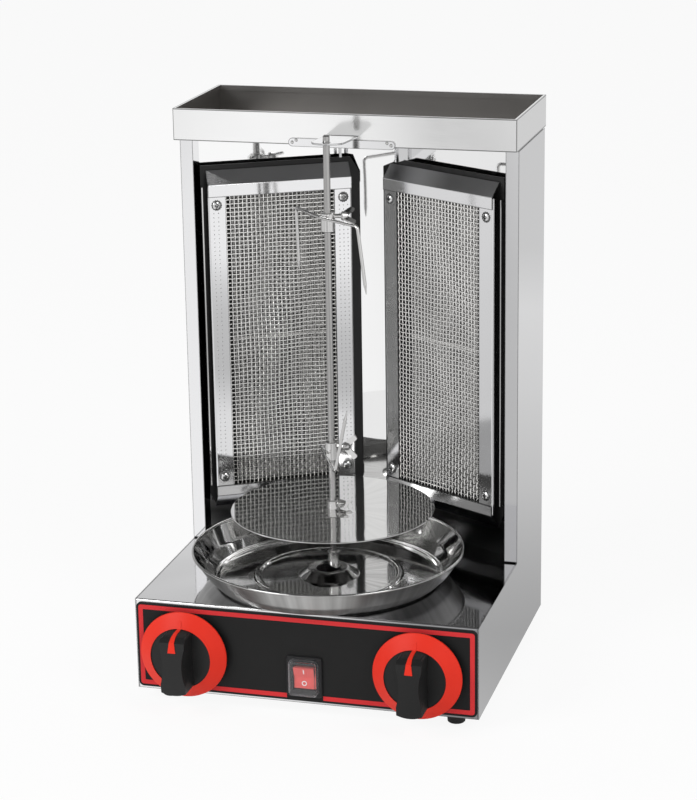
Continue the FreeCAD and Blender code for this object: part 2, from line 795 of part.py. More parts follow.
def valve_body(side_x):
    """Brass tap: round nose behind the panel, square block saddled on the rail, outlet on top."""
    nose = rod(9.0, (side_x, sheet, knob_z), (side_x, 30, knob_z))
    plate = rod(12.0, (side_x, sheet, knob_z), (side_x, sheet + 3, knob_z))
    block = box(side_x - 10, side_x + 10, 28, rail_y, knob_z - 10, knob_z + 10)
    outlet = rod(5.0, (side_x, tap_outlet_y, knob_z + 9), (side_x, tap_outlet_y, knob_z + tap_outlet_rise))
    tap = fuse([nose, plate, block, outlet])
    tap = tap.cut(rod(rail_radius, (side_x - 20, rail_y, rail_z), (side_x + 20, rail_y, rail_z)))
    return tap.cut(rod(stem_radius + running_clearance, (side_x, 0, knob_z), (side_x, 23, knob_z)))


def gas_tube(side_x, side):
    """Bent supply tube from a tap's outlet to the injector under its burner."""
    x, y, _ = burner_point(side, burner_middle, mixing_tube_depth, 0)
    high = knob_z + tap_outlet_rise + 12.0
    low = injector_seat - 18.0
    route = [(side_x, tap_outlet_y, knob_z + tap_outlet_rise), (side_x, tap_outlet_y, high),
             (side_x, column_front - 16.0, high), (x, column_front + 29.0, low), (x, y, low),
             (x, y, injector_seat)]
    return tube_along(route, gas_tube_radius, gas_tube_bend)


def injector(side):
    """Brass jet holder just below the mouth of a mixing tube."""
    x, y, _ = burner_point(side, burner_middle, mixing_tube_depth, 0)
    outline = [(0, 0), (6.5, 0), (6.5, 10), (4.0, 12), (4.0, 18), (2.0, 24), (0, 24)]
    return revolve(outline, (x, y, injector_seat))


def gas_inlet():
    """Threaded hose nipple with a nut flange on the back panel."""
    angles = [math.radians(60 * corner) for corner in range(6)]
    corners = [(inlet_x + inlet_nut_radius * math.cos(angle), base_depth,
                rail_z + inlet_nut_radius * math.sin(angle)) for angle in angles]
    nut = prism(corners, (0, inlet_nut_thickness, 0))
    thread = rod(inlet_thread_radius, (inlet_x, base_depth + inlet_nut_thickness, rail_z),
                 (inlet_x, rear_reach, rail_z))
    tail = rod(rail_radius - 0.5, (inlet_x, base_depth - sheet - 1, rail_z), (inlet_x, base_depth, rail_z))
    bore = rod(inlet_bore_radius, (inlet_x, base_depth + 2, rail_z), (inlet_x, rear_reach + 1, rail_z))
    return fuse([nut, thread, tail]).cut(bore)


# Burner pieces, drawn in the burner's own frame

def burner_frame():
    """Stainless front frame: strips over and under a window lap on two side strips, sloping flaps behind."""
    width = burner_width
    mid = sheet / 2.0
    slope_end = shield_depth - 0.41
    flap_end = flap_rise * slope_end / shield_depth
    top = [(-mid, burner_top - frame_top_strip), (-mid, burner_top - 0.6),
           (slope_end, burner_top + flap_end - 0.6)]
    bottom = [(-mid, burner_bottom + frame_bottom_strip), (-mid, burner_bottom + 0.6),
              (slope_end, burner_bottom - flap_end + 0.6)]
    inner_side = [(frame_side_strip, mid), (mid, mid), (mid, frame_return)]
    outer_side = [(width - u, v) for u, v in inner_side]
    strips = [bent_bar_along_x(top, sheet, 1.0, 0, width),
              bent_bar_along_x(bottom, sheet, 1.0, 0, width),
              bent_bar_along_z(inner_side, sheet, 1.0, burner_bottom + 1.2, burner_top - 1.2),
              bent_bar_along_z(outer_side, sheet, 1.0, burner_bottom + 1.2, burner_top - 1.2)]
    frame = fuse(strips)
    holes = [rod(burner_screw_radius, (x, -1, z), (x, 3, z)) for x, z in burner_screw_places()]
    return frame.cut(Part.makeCompound(holes))


def burner_screw_places():
    return [(x, z) for x in (burner_screw_inset, burner_width - burner_screw_inset)
            for z in (burner_bottom + burner_screw_rise, burner_top - burner_screw_rise)]


def burner_mesh():
    """Two crossed layers of straight wires behind the window."""
    x0 = frame_side_strip - mesh_margin
    x1 = burner_width - x0
    z0 = burner_bottom + frame_bottom_strip - mesh_margin
    z1 = burner_top - frame_top_strip + mesh_margin
    columns = int((x1 - x0) // mesh_pitch)
    rows = int((z1 - z0) // mesh_pitch)
    first_x = (x0 + x1 - columns * mesh_pitch) / 2.0
    first_z = (z0 + z1 - rows * mesh_pitch) / 2.0
    near = mesh_depth
    far = mesh_depth + mesh_wire
    wires = []
    for column in range(columns + 1):
        x = first_x + column * mesh_pitch
        wires.append(box(x - mesh_wire / 2, x + mesh_wire / 2, near, far, z0, z1))
    for row in range(rows + 1):
        z = first_z + row * mesh_pitch
        wires.append(box(x0, x1, far, far + mesh_wire, z - mesh_wire / 2, z + mesh_wire / 2))
    return wires


shield_top = burner_top + flap_rise + shield_rise
shield_inner_cut = {left: (8.5, 14.0), right: (28.0, 9.0)}


def burner_shield(side):
    """Black plate behind the frame: cut inner corners, a lip folded forward on its outer edge, a window."""
    x0 = -shield_overhang_inner
    x1 = burner_width + shield_overhang_outer
    z0 = burner_bottom - flap_rise + 0.8
    cut_wide, cut_high = shield_inner_cut[side]
    outline = [(x0 + 9, z0), (x1 - 6, z0), (x1, z0 + 13), (x1, shield_top),
               (x0 + cut_wide, shield_top), (x0, shield_top - cut_high), (x0, z0 + 16)]
    plate = prism([(x, shield_depth, z) for x, z in outline], (0, shield_thickness, 0))
    lip = box(x1 - shield_thickness, x1, shield_depth - shield_lip, shield_depth,
              burner_bottom + shield_lip_start, burner_top - shield_lip_end)
    plate = fuse([plate, lip])
    half = plaque_width / 2.0
    tall = plaque_height + plaque_joint / 2.0
    window = box(burner_middle - half, burner_middle + half, 0, 20, burner_mid_z - tall, burner_mid_z + tall)
    holes = [rod(burner_screw_radius, (x, 5, z), (x, 15, z)) for x, z in burner_screw_places()]
    return plate.cut(window).cut(Part.makeCompound(holes))


def burner_plaques():
    """Two ceramic blocks, one above the other, with bevelled faces."""
    plaques = []
    half = plaque_width / 2.0
    for way in (-1.0, 1.0):
        middle = burner_mid_z + way * (plaque_height + plaque_joint) / 2.0
        block = box(burner_middle - half, burner_middle + half,
                    plaque_depth, plaque_depth + plaque_thickness,
                    middle - plaque_height / 2.0, middle + plaque_height / 2.0)
        face = [edge for edge in block.Edges if abs(edge.CenterOfMass.y - plaque_depth) < 0.01]
        plaques.append(block.makeChamfer(1.2, face))
    return plaques


def burner_body():
    """Cast burner head: a flanged tray behind the ceramic with a mixing tube down to the base."""
    half = plaque_width / 2.0
    tall = plaque_height + plaque_joint / 2.0
    front = shield_depth + shield_thickness
    rim = box(burner_middle - half - body_rim, burner_middle + half + body_rim, front, front + body_wall,
              burner_mid_z - tall - body_rim, burner_mid_z + tall + body_rim)
    tub = box(burner_middle - half - body_margin, burner_middle + half + body_margin, front, body_depth,
              burner_mid_z - tall - body_margin, burner_mid_z + tall + body_margin)
    back_edges = [edge for edge in tub.Edges if abs(edge.CenterOfMass.y - body_depth) < 0.01]
    tub = tub.makeFillet(4.0, back_edges)
    mouth = base_height - 19.0
    bell_height = 8.0
    tube = rod(mixing_tube_radius, (burner_middle, mixing_tube_depth, mouth + bell_height - 2),
               (burner_middle, mixing_tube_depth, burner_mid_z - tall))
    bell = Part.makeCone(mixing_tube_radius + 2.5, mixing_tube_radius, bell_height,
                         Vector(burner_middle, mixing_tube_depth, mouth), Vector(0, 0, 1))
    solid = fuse([rim, tub, tube, bell])
    seat = box(burner_middle - half, burner_middle + half, front - 1, plaque_depth + plaque_thickness,
               burner_mid_z - tall, burner_mid_z + tall)
    ledge = 6.0
    plenum = box(burner_middle - half + ledge, burner_middle + half - ledge, front, body_depth - body_wall,
                 burner_mid_z - tall + ledge, burner_mid_z + tall - ledge)
    bore = rod(mixing_tube_radius - 2.5, (burner_middle, mixing_tube_depth, mouth - 1),
               (burner_middle, mixing_tube_depth, burner_mid_z - tall + ledge + 4))
    solid = solid.cut(seat).cut(plenum).cut(bore)
    holes = [rod(burner_screw_radius, (x, 5, z), (x, 20, z)) for x, z in burner_screw_places()]
    return solid.cut(Part.makeCompound(holes))


def burner_hanger(side):
    """Narrow strap from the roof down to the upper edge of the shield, which slopes at its inner end."""
    near = burner_screw_inset - hanger_half_width
    far = burner_screw_inset + hanger_half_width
    cut_wide, cut_high = shield_inner_cut[side]
    slope_left = max(0.0, cut_wide - shield_overhang_inner - far)
    foot = shield_top - cut_high * slope_left / cut_wide
    return box(near, far, shield_depth - 2, shield_depth + shield_thickness, foot, column_top)


# Motor, drive socket and spit

def gear_motor():
    """Round motor can under a square gearbox on the spit's axis."""
    half = gearbox_half
    boss_top = gearbox_top + gearbox_boss
    can = rod(motor_radius, (0, spit_y, motor_bottom), (0, spit_y, gearbox_bottom))
    gearbox = box(-half, half, spit_y - half, spit_y + half, gearbox_bottom, gearbox_top)
    gearbox = gearbox.makeFillet(gearbox_corner, edges_along(gearbox, Vector(0, 0, 1)))
    boss = rod(2.0 * drive_shaft_radius, (0, spit_y, gearbox_top), (0, spit_y, boss_top))
    bore = rod(drive_shaft_radius + running_clearance, (0, spit_y, shaft_bottom - shaft_end_gap),
               (0, spit_y, boss_top + 1))
    return fuse([can, gearbox, boss]).cut(bore)


def motor_bracket():
    """Folded strap that hangs the gearbox from the base top."""
    roof = base_height - sheet
    front = spit_y - motor_strap_half_depth
    back = spit_y + motor_strap_half_depth
    inner = gearbox_half + motor_strap_gap
    outer = inner + motor_strap
    pieces = [box(-outer, outer, front, back, gearbox_top, gearbox_top + motor_strap)]
    for side in (left, right):
        leg_from, leg_to = sorted((side * inner, side * outer))
        tab_from, tab_to = sorted((side * inner, side * (inner + motor_tab)))
        pieces.append(box(leg_from, leg_to, front, back, gearbox_top, roof))
        pieces.append(box(tab_from, tab_to, front, back, roof - motor_strap, roof))
    boss_hole = rod(2.0 * drive_shaft_radius + 1.0, (0, spit_y, gearbox_top - 1), (0, spit_y, roof - 2))
    return fuse(pieces).cut(boss_hole)


def drive_socket():
    """Turning sleeve with a square socket for the foot of the spit."""
    flange_radius = socket_radius + socket_flange
    outline = [(0, shaft_bottom), (drive_shaft_radius, shaft_bottom), (drive_shaft_radius, socket_bottom),
               (socket_radius, socket_bottom), (socket_radius, socket_top - 2.2),
               (flange_radius, socket_top - 1.8), (flange_radius, socket_top), (0, socket_top)]
    sleeve = revolve(outline, (0, spit_y, 0))
    half = spit_square / 2.0 + square_clearance
    return sleeve.cut(box(-half, half, spit_y - half, spit_y + half, socket_floor, socket_top + 1))


def spit_rod():
    """Round spit with a squared foot and a rounded top."""
    shank = rod(spit_radius, (0, spit_y, socket_top + 1.0), (0, spit_y, spit_top - 1.2))
    tip = Part.makeCone(spit_radius, spit_radius - 1.2, 1.2,
                        Vector(0, spit_y, spit_top - 1.2), Vector(0, 0, 1))
    half = spit_square / 2.0
    foot = box(-half, half, spit_y - half, spit_y + half, spit_bottom, socket_top + 1.2)
    return fuse([shank, tip, foot])


def on_spit_bore(low, high):
    radius = spit_radius + running_clearance
    return rod(radius, (0, spit_y, low - 1), (0, spit_y, high + 1))


def meat_disc():
    """Thin round plate with softened edges, carried by its hub."""
    top = disc_bottom + disc_thickness
    soft = 0.3
    outline = [(disc_bore_radius, disc_bottom), (disc_radius - soft, disc_bottom),
               (disc_radius, disc_bottom + soft), (disc_radius, top - soft), (disc_radius - soft, top),
               (disc_bore_radius, top)]
    return revolve(outline, (0, spit_y, 0))


def screw_axis(name):
    angle = math.radians(screw_turn[name])
    return Vector(math.cos(angle), math.sin(angle), 0)


def screw_hole(name, z, reach):
    axis = screw_axis(name)
    start = Vector(0, spit_y, z)
    return Part.makeCylinder(wing_screw_radius + running_clearance, reach, start, axis)


def disc_hub():
    """Short collar that clamps the plate on the spit."""
    low = disc_bottom + disc_thickness
    neck = disc_bore_radius
    lip = neck + hub_lip
    under = disc_bottom - hub_lip_height
    body = revolve([(0, under), (lip, under), (lip, disc_bottom), (neck, disc_bottom), (neck, low),
                    (hub_radius, low), (hub_radius, low + hub_height - 0.6),
                    (hub_radius - 0.6, low + hub_height), (0, low + hub_height)], (0, spit_y, 0))
    body = body.cut(on_spit_bore(under, low + hub_height))
    return body.cut(screw_hole("disc", low + hub_screw_rise, 20))


def fork_collar(low, name):
    body = revolve([(0, low), (collar_radius - 0.5, low), (collar_radius, low + 0.5),
                    (collar_radius, low + collar_height - 0.5), (collar_radius - 0.5, low + collar_height),
                    (0, low + collar_height)], (0, spit_y, 0))
    body = body.cut(on_spit_bore(low, low + collar_height))
    return body.cut(screw_hole(name, low + collar_screw_height, 20))


def wing_screw(name, z):
    """Thumb screw along +X with two wings spread in a V, turned to its place round the spit."""
    boss_start = screw_boss_start[name]
    tip = spit_radius + 0.3
    neck = wing_boss_radius - 1.1
    shank = rod(wing_screw_radius, (tip, 0, 0), (boss_start + 1, 0, 0))
    boss = revolve([(0, boss_start), (neck, boss_start), (wing_boss_radius, boss_start + 1.4),
                    (neck, boss_start + 5.6), (0, boss_start + 6.4)], (0, 0, 0), Vector(1, 0, 0))
    pieces = [shank, boss]
    for way in (1.0, -1.0):
        wing = rounded_plate(-2.0, screw_wing_length[name], -wing_width / 2.0, wing_width / 2.0,
                             -wing_thickness / 2.0, wing_thickness / 2.0, 1.6)
        wing.rotate(Vector(0, 0, 0), Vector(0, 1, 0), -way * wing_angle)
        wing.translate(Vector(boss_start + 3.2, 0, way * 2.4))
        pieces.append(wing)
    screw = fuse(pieces)
    screw.rotate(Vector(0, 0, 0), Vector(1, 0, 0), screw_roll[name])
    screw.rotate(Vector(0, 0, 0), Vector(0, 0, 1), screw_turn[name])
    screw.translate(Vector(0, spit_y, z))
    return screw


def fork_wire(route, bend, tips):
    """Bent round wire with a drawn-out point at each listed end."""
    wire = tube_along(route, wire_radius, bend)
    pieces = [wire]
    for end, before in tips:
        run = (Vector(*end) - Vector(*before)).normalize()
        pieces.append(Part.makeCone(wire_radius, 0.35, 9.0, Vector(*end), run))
    return fuse(pieces)


def upper_fork_wire():
    """Cross wire with two tines pointing down."""
    z = upper_collar_bottom + 13.0
    y = spit_y
    left_bend = (-39.0, y + 33.0, z)
    right_bend = (36.0, y - 31.6, z)
    middle = (-4.9, y - 5.4, z)
    left_end = (-37.4, y + 33.0, z - 49.0)
    right_end = (42.2, y - 31.6, z - 52.0)
    route = [left_end, left_bend, middle, right_bend, right_end]
    wire = fork_wire(route, 4.0, [(right_end, right_bend)])
    tip = Part.makeCone(wire_radius, 0.35, 9.0, Vector(*left_end),
                        (Vector(*left_end) - Vector(*left_bend)).normalize())
    wire = fuse([wire, tip])
    return wire.cut(rod(collar_radius, (0, y, z - 20), (0, y, z + 20)))


def lower_fork_wire():
    """Single hook from the lower collar, its tine pointing up."""
    y = spit_y
    z = lower_collar_bottom
    start = (-12.3, y + 8.4, z + 8.8)
    vertex = (15.6, y - 45.0, z + 3.0)
    end = (25.2, y - 43.4, z + 51.0)
    wire = fork_wire([start, vertex, end], 4.0, [(end, vertex)])
    return wire.cut(rod(collar_radius, (0, y, z - 10), (0, y, z + 30)))


def drip_pan():
    """Pressed round pan with a rolled rim, a raised ring in its floor and a coned centre hole."""
    floor = pan_thickness / 2.0
    ridge = floor + pan_ridge_height
    step = floor + pan_step_height
    section = [(pan_hole_radius, pan_hole_height), (pan_cone_radius, pan_cone_height),
               (pan_cone_foot_radius, floor)]
    section += list(zip(pan_ridge_radii, (floor, ridge, ridge, floor)))
    section += list(zip(pan_step_radii, (floor, step, step)))
    section += [(pan_wall_radius, pan_wall_height),
                (pan_rim_radius - pan_bead_radius, pan_height - pan_bead_radius)]
    face = bent_sheet_face(section, pan_thickness, 0.9)
    shell = face.revolve(Vector(0, 0, 0), Vector(0, 0, 1), 360)
    bead = Part.makeTorus(pan_rim_radius - pan_bead_radius, pan_bead_radius,
                          Vector(0, 0, pan_height - pan_bead_radius))
    pan = fuse([shell, bead])
    pan.translate(Vector(pan_x, pan_y, base_height + pan_rest_gap))
    return pan


def main():
    os.makedirs("parts", exist_ok=True)
    export("base_top", base_top())
    export("base_plate", base_plate())
    export_group("feet", feet())
    export_group("foot_screws", foot_screws())
    export("side_panel_left", side_panel(left))
    export("side_panel_right", side_panel(right))
    export("back_panel", back_panel())
    export("cable_grommet", cable_grommet())
    export("back_liner", back_liner())
    export("roof_plate", roof_plate())
    export("top_tray", top_tray())
    export("spit_bracket", spit_bracket())
    export_group("bracket_rivets", bracket_rivets())
    export("control_fascia", control_fascia())
    export("fascia_line", fascia_line())
    export("switch_body", switch_body())
    export("switch_rocker", switch_rocker())
    export("switch_cover", switch_cover())
    for name, side in (("left", left), ("right", right)):
        x = knob_x[name]
        ring = knob_ring(x)
        grip = knob_grip(x)
        export("knob_ring_" + name, ring)
        export("knob_grip_" + name, grip)
        export("knob_pointer_" + name, knob_pointer(x, grip, ring))
        export("valve_stem_" + name, valve_stem(x))
        export("valve_body_" + name, valve_body(x))
        export("gas_tube_" + name, gas_tube(x, side))
        export("injector_" + name, injector(side))
        export("burner_frame_" + name, burner_to_grill(burner_frame(), side))
        export_group("burner_mesh_" + name, [burner_to_grill(wire, side) for wire in burner_mesh()])
        export("burner_shield_" + name, burner_to_grill(burner_shield(side), side))
        export_group("burner_plaques_" + name, [burner_to_grill(block, side) for block in burner_plaques()])
        export("burner_body_" + name, burner_to_grill(burner_body(), side))
    screws = []
    for side in (left, right):
        for x, z in burner_screw_places():
            screw = pan_head_screw((x, 0, z), (0, 1, 0), burner_screw_length, burner_screw_radius)
            screws.append(burner_to_grill(screw, side))
    export_group("burner_screws", screws)
    export_group("burner_hangers", [burner_to_grill(burner_hanger(side), side) for side in (left, right)])
    export("gas_rail", gas_rail())
    export("gas_inlet", gas_inlet())
    export("gear_motor", gear_motor())
    export("motor_bracket", motor_bracket())
    export("drive_socket", drive_socket())
    export("spit_rod", spit_rod())
    export("meat_disc", meat_disc())
    export("disc_hub", disc_hub())
    export("disc_screw", wing_screw("disc", disc_bottom + disc_thickness + hub_screw_rise))
    export("lower_fork_collar", fork_collar(lower_collar_bottom, "lower"))
    export("lower_fork_wire", lower_fork_wire())
    export("lower_fork_screw", wing_screw("lower", lower_collar_bottom + collar_screw_height))
    export("upper_fork_collar", fork_collar(upper_collar_bottom, "upper"))
    export("upper_fork_wire", upper_fork_wire())
    export("upper_fork_screw", wing_screw("upper", upper_collar_bottom + collar_screw_height))
    export("drip_pan", drip_pan())


main()
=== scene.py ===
"""Looks of the table-top gas grill.

The studio, the finishes, and the fine surfaces that the solids leave plain.
"""
import json
import math

import bpy
import numpy as np
from mathutils import Matrix, Vector

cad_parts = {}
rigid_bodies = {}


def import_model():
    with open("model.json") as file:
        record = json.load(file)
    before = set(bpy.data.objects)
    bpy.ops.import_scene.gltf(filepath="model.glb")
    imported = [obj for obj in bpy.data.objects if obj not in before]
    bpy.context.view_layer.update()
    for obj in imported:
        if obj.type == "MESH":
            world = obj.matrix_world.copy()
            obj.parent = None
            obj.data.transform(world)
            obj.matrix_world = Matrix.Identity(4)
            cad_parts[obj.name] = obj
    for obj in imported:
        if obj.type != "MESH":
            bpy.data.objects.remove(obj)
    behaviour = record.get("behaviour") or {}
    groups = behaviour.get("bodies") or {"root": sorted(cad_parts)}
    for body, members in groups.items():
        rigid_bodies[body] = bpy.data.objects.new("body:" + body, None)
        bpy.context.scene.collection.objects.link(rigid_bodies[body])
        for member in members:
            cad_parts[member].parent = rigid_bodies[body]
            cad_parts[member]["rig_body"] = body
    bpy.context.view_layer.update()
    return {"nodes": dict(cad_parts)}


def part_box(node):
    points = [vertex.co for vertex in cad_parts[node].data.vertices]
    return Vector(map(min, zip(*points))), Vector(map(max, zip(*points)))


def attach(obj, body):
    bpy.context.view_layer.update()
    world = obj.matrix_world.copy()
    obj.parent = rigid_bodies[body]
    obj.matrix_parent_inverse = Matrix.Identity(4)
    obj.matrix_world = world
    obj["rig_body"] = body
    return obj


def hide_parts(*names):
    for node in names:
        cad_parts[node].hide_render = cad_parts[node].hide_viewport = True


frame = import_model()

MM = 0.001
FRONT_Y = -134.0          # the base's front face in the row frame, mm
BASE_Z = 12.0             # the base's lower edge above the table, mm
SPIT_AXIS = (0.0, 100.0, 0.0)
PAN_MIDDLE = (-4.5, 98.2, 87.3)


def row(x, y, z):
    """A point of the drawing frame in the row frame, in metres.

    The drawing frame is in mm, with the base's front at y 0 and its lower edge at z 0.
    """
    return (x * MM, (y + FRONT_Y) * MM, (z + BASE_Z) * MM)


# Shader helpers


def grey(value):
    return (value, value, value)


def new_material(name):
    """A material with its node tree and its main shader."""
    material = bpy.data.materials.new(name)
    material.use_nodes = True
    return material, material.node_tree, material.node_tree.nodes["Principled BSDF"]


def feed(tree, socket, value):
    """Link a socket into an input, or set the number or colour there."""
    if isinstance(value, bpy.types.NodeSocket):
        tree.links.new(value, socket)
    elif isinstance(value, (tuple, list)):
        socket.default_value = (*value, 1)
    else:
        socket.default_value = value


def value_group(name, inputs, outputs):
    """An empty node group with named number inputs and outputs."""
    group = bpy.data.node_groups.new(name, "ShaderNodeTree")
    for label, start in inputs:
        socket = group.interface.new_socket(label, in_out="INPUT",
                                            socket_type="NodeSocketFloat")
        socket.default_value = start
    for label in outputs:
        group.interface.new_socket(label, in_out="OUTPUT", socket_type="NodeSocketFloat")
    return group, group.nodes.new("NodeGroupInput"), group.nodes.new("NodeGroupOutput")


def math_node(tree, operation, a, b=0.0):
    """One Math node whose inputs are sockets or plain numbers."""
    node = tree.nodes.new("ShaderNodeMath")
    node.operation = operation
    feed(tree, node.inputs[0], a)
    feed(tree, node.inputs[1], b)
    return node.outputs[0]


def distance(tree, x, y):
    """sqrt(x x + y y) of two sockets."""
    square = math_node(tree, "ADD", math_node(tree, "MULTIPLY", x, x),
                       math_node(tree, "MULTIPLY", y, y))
    return math_node(tree, "SQRT", square)


def ranged(tree, value, low, high, start=0.0, end=1.0):
    """A value from start to end spread over low to high."""
    spread = tree.nodes.new("ShaderNodeMapRange")
    for label, given in (("Value", value), ("From Min", start), ("From Max", end),
                         ("To Min", low), ("To Max", high)):
        feed(tree, spread.inputs[label], given)
    return spread.outputs["Result"]


def coordinates(tree, kind="Object"):
    return tree.nodes.new("ShaderNodeTexCoord").outputs[kind]


def axes_of(tree, vector):
    """The X, Y and Z sockets of a vector socket."""
    apart = tree.nodes.new("ShaderNodeSeparateXYZ")
    tree.links.new(vector, apart.inputs[0])
    return apart.outputs


def vector_of(tree, x, y, z):
    """A vector socket made of three sockets."""
    join = tree.nodes.new("ShaderNodeCombineXYZ")
    for socket, value in zip(join.inputs, (x, y, z)):
        tree.links.new(value, socket)
    return join.outputs[0]


def noise(tree, vector, scale, detail):
    """Layered noise over a vector socket; the scale is a socket or a number."""
    node = tree.nodes.new("ShaderNodeTexNoise")
    tree.links.new(vector, node.inputs["Vector"])
    feed(tree, node.inputs["Scale"], scale)
    node.inputs["Detail"].default_value = detail
    return node.outputs["Fac"]


def shader_mix(tree, factor, first, second):
    """One shader turned into another by a factor socket."""
    mix = tree.nodes.new("ShaderNodeMixShader")
    for socket, value in zip(mix.inputs, (factor, first, second)):
        tree.links.new(value, socket)
    return mix.outputs[0]


# Marks that several finishes share


def make_edge_group():
    """1 along sharp edges and 0 on flats: where the painted edge shade goes.

    The normal is set against one rounded over a radius: at a cosine of 0.99 between them the
    surface counts as flat, and at 0.9 as an edge.
    """
    group, start, end = value_group("edge_line", [("Radius", 0.001)], ["Edge"])
    soft = group.nodes.new("ShaderNodeBevel")
    soft.samples = 8
    group.links.new(start.outputs["Radius"], soft.inputs["Radius"])
    flat = group.nodes.new("ShaderNodeNewGeometry")
    agree = group.nodes.new("ShaderNodeVectorMath")
    agree.operation = "DOT_PRODUCT"
    group.links.new(soft.outputs["Normal"], agree.inputs[0])
    group.links.new(flat.outputs["Normal"], agree.inputs[1])
    edge = ranged(group, agree.outputs["Value"], 1.0, 0.0, 0.9, 0.99)
    group.links.new(edge, end.inputs["Edge"])
    return group


def make_grain_group():
    """Rolled-sheet grain: noise drawn out along X, plus broad soft waves and faint smears."""
    group, start, end = value_group(
        "sheet_grain",
        [("Grain", 1800.0), ("Length", 40.0), ("Wave", 9.0), ("Low", 0.1), ("High", 0.2)],
        ["Roughness", "Grain Height", "Wave Height"])
    place = coordinates(group)
    x, y, z = axes_of(group, place)
    drawn_out = vector_of(group, math_node(group, "MULTIPLY", x, start.outputs["Length"]),
                          math_node(group, "MULTIPLY", y, start.outputs["Grain"]),
                          math_node(group, "MULTIPLY", z, start.outputs["Grain"]))
    grain = noise(group, drawn_out, 1.0, 2.0)
    wave = noise(group, place, start.outputs["Wave"], 1.0)
    smear = noise(group, place, 26.0, 5.0)
    blend = math_node(group, "ADD", math_node(group, "MULTIPLY", grain, 0.5),
                      math_node(group, "MULTIPLY", smear, 0.5))
    gloss = ranged(group, blend, start.outputs["Low"], start.outputs["High"], 0.35, 0.7)
    for label, value in (("Roughness", gloss), ("Grain Height", grain), ("Wave Height", wave)):
        group.links.new(value, end.inputs[label])
    return group


def make_mottle_group():
    """Fine moulded or cast texture: a height and a soft mask, both from layered noise."""
    group, start, end = value_group("surface_mottle", [("Size", 900.0)], ["Height", "Mask"])
    place = coordinates(group)
    group.links.new(noise(group, place, start.outputs["Size"], 3.0), end.inputs["Height"])
    group.links.new(noise(group, place, 30.0, 4.0), end.inputs["Mask"])
    return group


def make_spun_group():
    """Marks of a spun dish: streaks that run out from a centre and fine rings round it."""
    group, start, end = value_group(
        "spun_marks",
        [("Centre X", 0.0), ("Centre Y", 0.0), ("Streaks", 14.0), ("Rings", 900.0)],
        ["Streak", "Ring"])
    place_x, place_y, _ = axes_of(group, coordinates(group))
    x = math_node(group, "SUBTRACT", place_x, start.outputs["Centre X"])
    y = math_node(group, "SUBTRACT", place_y, start.outputs["Centre Y"])
    radius = distance(group, x, y)
    way_x = math_node(group, "DIVIDE", x, radius)
    way_y = math_node(group, "DIVIDE", y, radius)
    for label, around, outwards in (("Streak", start.outputs["Streaks"], 12.0),
                                    ("Ring", 1.5, start.outputs["Rings"])):
        vector = vector_of(group, math_node(group, "MULTIPLY", way_x, around),
                           math_node(group, "MULTIPLY", way_y, around),
                           math_node(group, "MULTIPLY", radius, outwards))
        group.links.new(noise(group, vector, 1.0, 3.0), end.inputs[label])
    return group


EDGE = make_edge_group()
GRAIN = make_grain_group()
MOTTLE = make_mottle_group()
SPUN = make_spun_group()
EDGE_RADIUS = 0.0015
# painted shade drawn along sharp edges
PAINTED_EDGE_SHADE = grey(0.04)
GRAIN_DEPTH = 0.000004


def use_group(tree, group, **values):
    """A node of a group with some of its number inputs set."""
    node = tree.nodes.new("ShaderNodeGroup")
    node.node_tree = group
    for label, value in values.items():
        node.inputs[label.replace("_", " ")].default_value = value
    return node


def bump_chain(tree, heights):
    """The last normal of a row of Bump nodes, one for each (height socket, depth in metres)."""
    normal = None
    for height, depth in heights:
        bump = tree.nodes.new("ShaderNodeBump")
        bump.inputs["Distance"].default_value = depth
        tree.links.new(height, bump.inputs["Height"])
        if normal:
            tree.links.new(normal, bump.inputs["Normal"])
        normal = bump.outputs["Normal"]
    return normal


def mixed_colour(tree, factor, first, second):
    """Colour between two colours or colour sockets, by a factor socket."""
    mix = tree.nodes.new("ShaderNodeMix")
    mix.data_type = "RGBA"
    for label, value in (("Factor", factor), ("A", first), ("B", second)):
        feed(tree, mix.inputs[label], value)
    return mix.outputs["Result"]


def edge_shaded(tree, colour, strength):
    """A colour darkened with painted shade along the sharp edges."""
    edge = use_group(tree, EDGE, Radius=EDGE_RADIUS).outputs["Edge"]
    return mixed_colour(tree, math_node(tree, "MULTIPLY", edge, strength), colour, PAINTED_EDGE_SHADE)


def in_mirrors(tree, colour, mirrored):
    """One colour seen straight and another seen in a mirror: the second is a painted reflection
    tone.
    """
    seen = tree.nodes.new("ShaderNodeLightPath")
    return mixed_colour(tree, seen.outputs["Is Glossy Ray"], colour, mirrored)


def inside_mask(tree, low, high):
    """1 between two corners of a box in the row frame, 0 outside it."""
    place = axes_of(tree, coordinates(tree))
    mask = 1.0
    for axis in range(3):
        for operation, limit in (("GREATER_THAN", low[axis]), ("LESS_THAN", high[axis])):
            beyond = math_node(tree, operation, place[axis], limit)
            mask = math_node(tree, "MULTIPLY", mask, beyond)
    return mask


def box_edges(tree, low, high, width):
    """1 within a width of the edges of a box: close to two of its faces at once."""
    place = axes_of(tree, coordinates(tree))
    faces_near = 0.0
    for axis in range(3):
        off = math_node(tree, "SUBTRACT", place[axis], (low[axis] + high[axis]) / 2)
        near = math_node(tree, "GREATER_THAN", math_node(tree, "ABSOLUTE", off),
                         (high[axis] - low[axis]) / 2 - width)
        faces_near = math_node(tree, "ADD", faces_near, near)
    return math_node(tree, "GREATER_THAN", faces_near, 1.5)


# Finishes: low and high are roughness, waves, grain and depths are heights in metres


def metal(material, tone, gloss, heights):
    """A material finished as a metal, from its tone, its roughness socket and bump heights."""
    tree = material.node_tree
    shader = tree.nodes["Principled BSDF"]
    feed(tree, shader.inputs["Base Color"], tone)
    shader.inputs["Metallic"].default_value = 1.0
    tree.links.new(gloss, shader.inputs["Roughness"])
    tree.links.new(bump_chain(tree, heights), shader.inputs["Normal"])
    return material


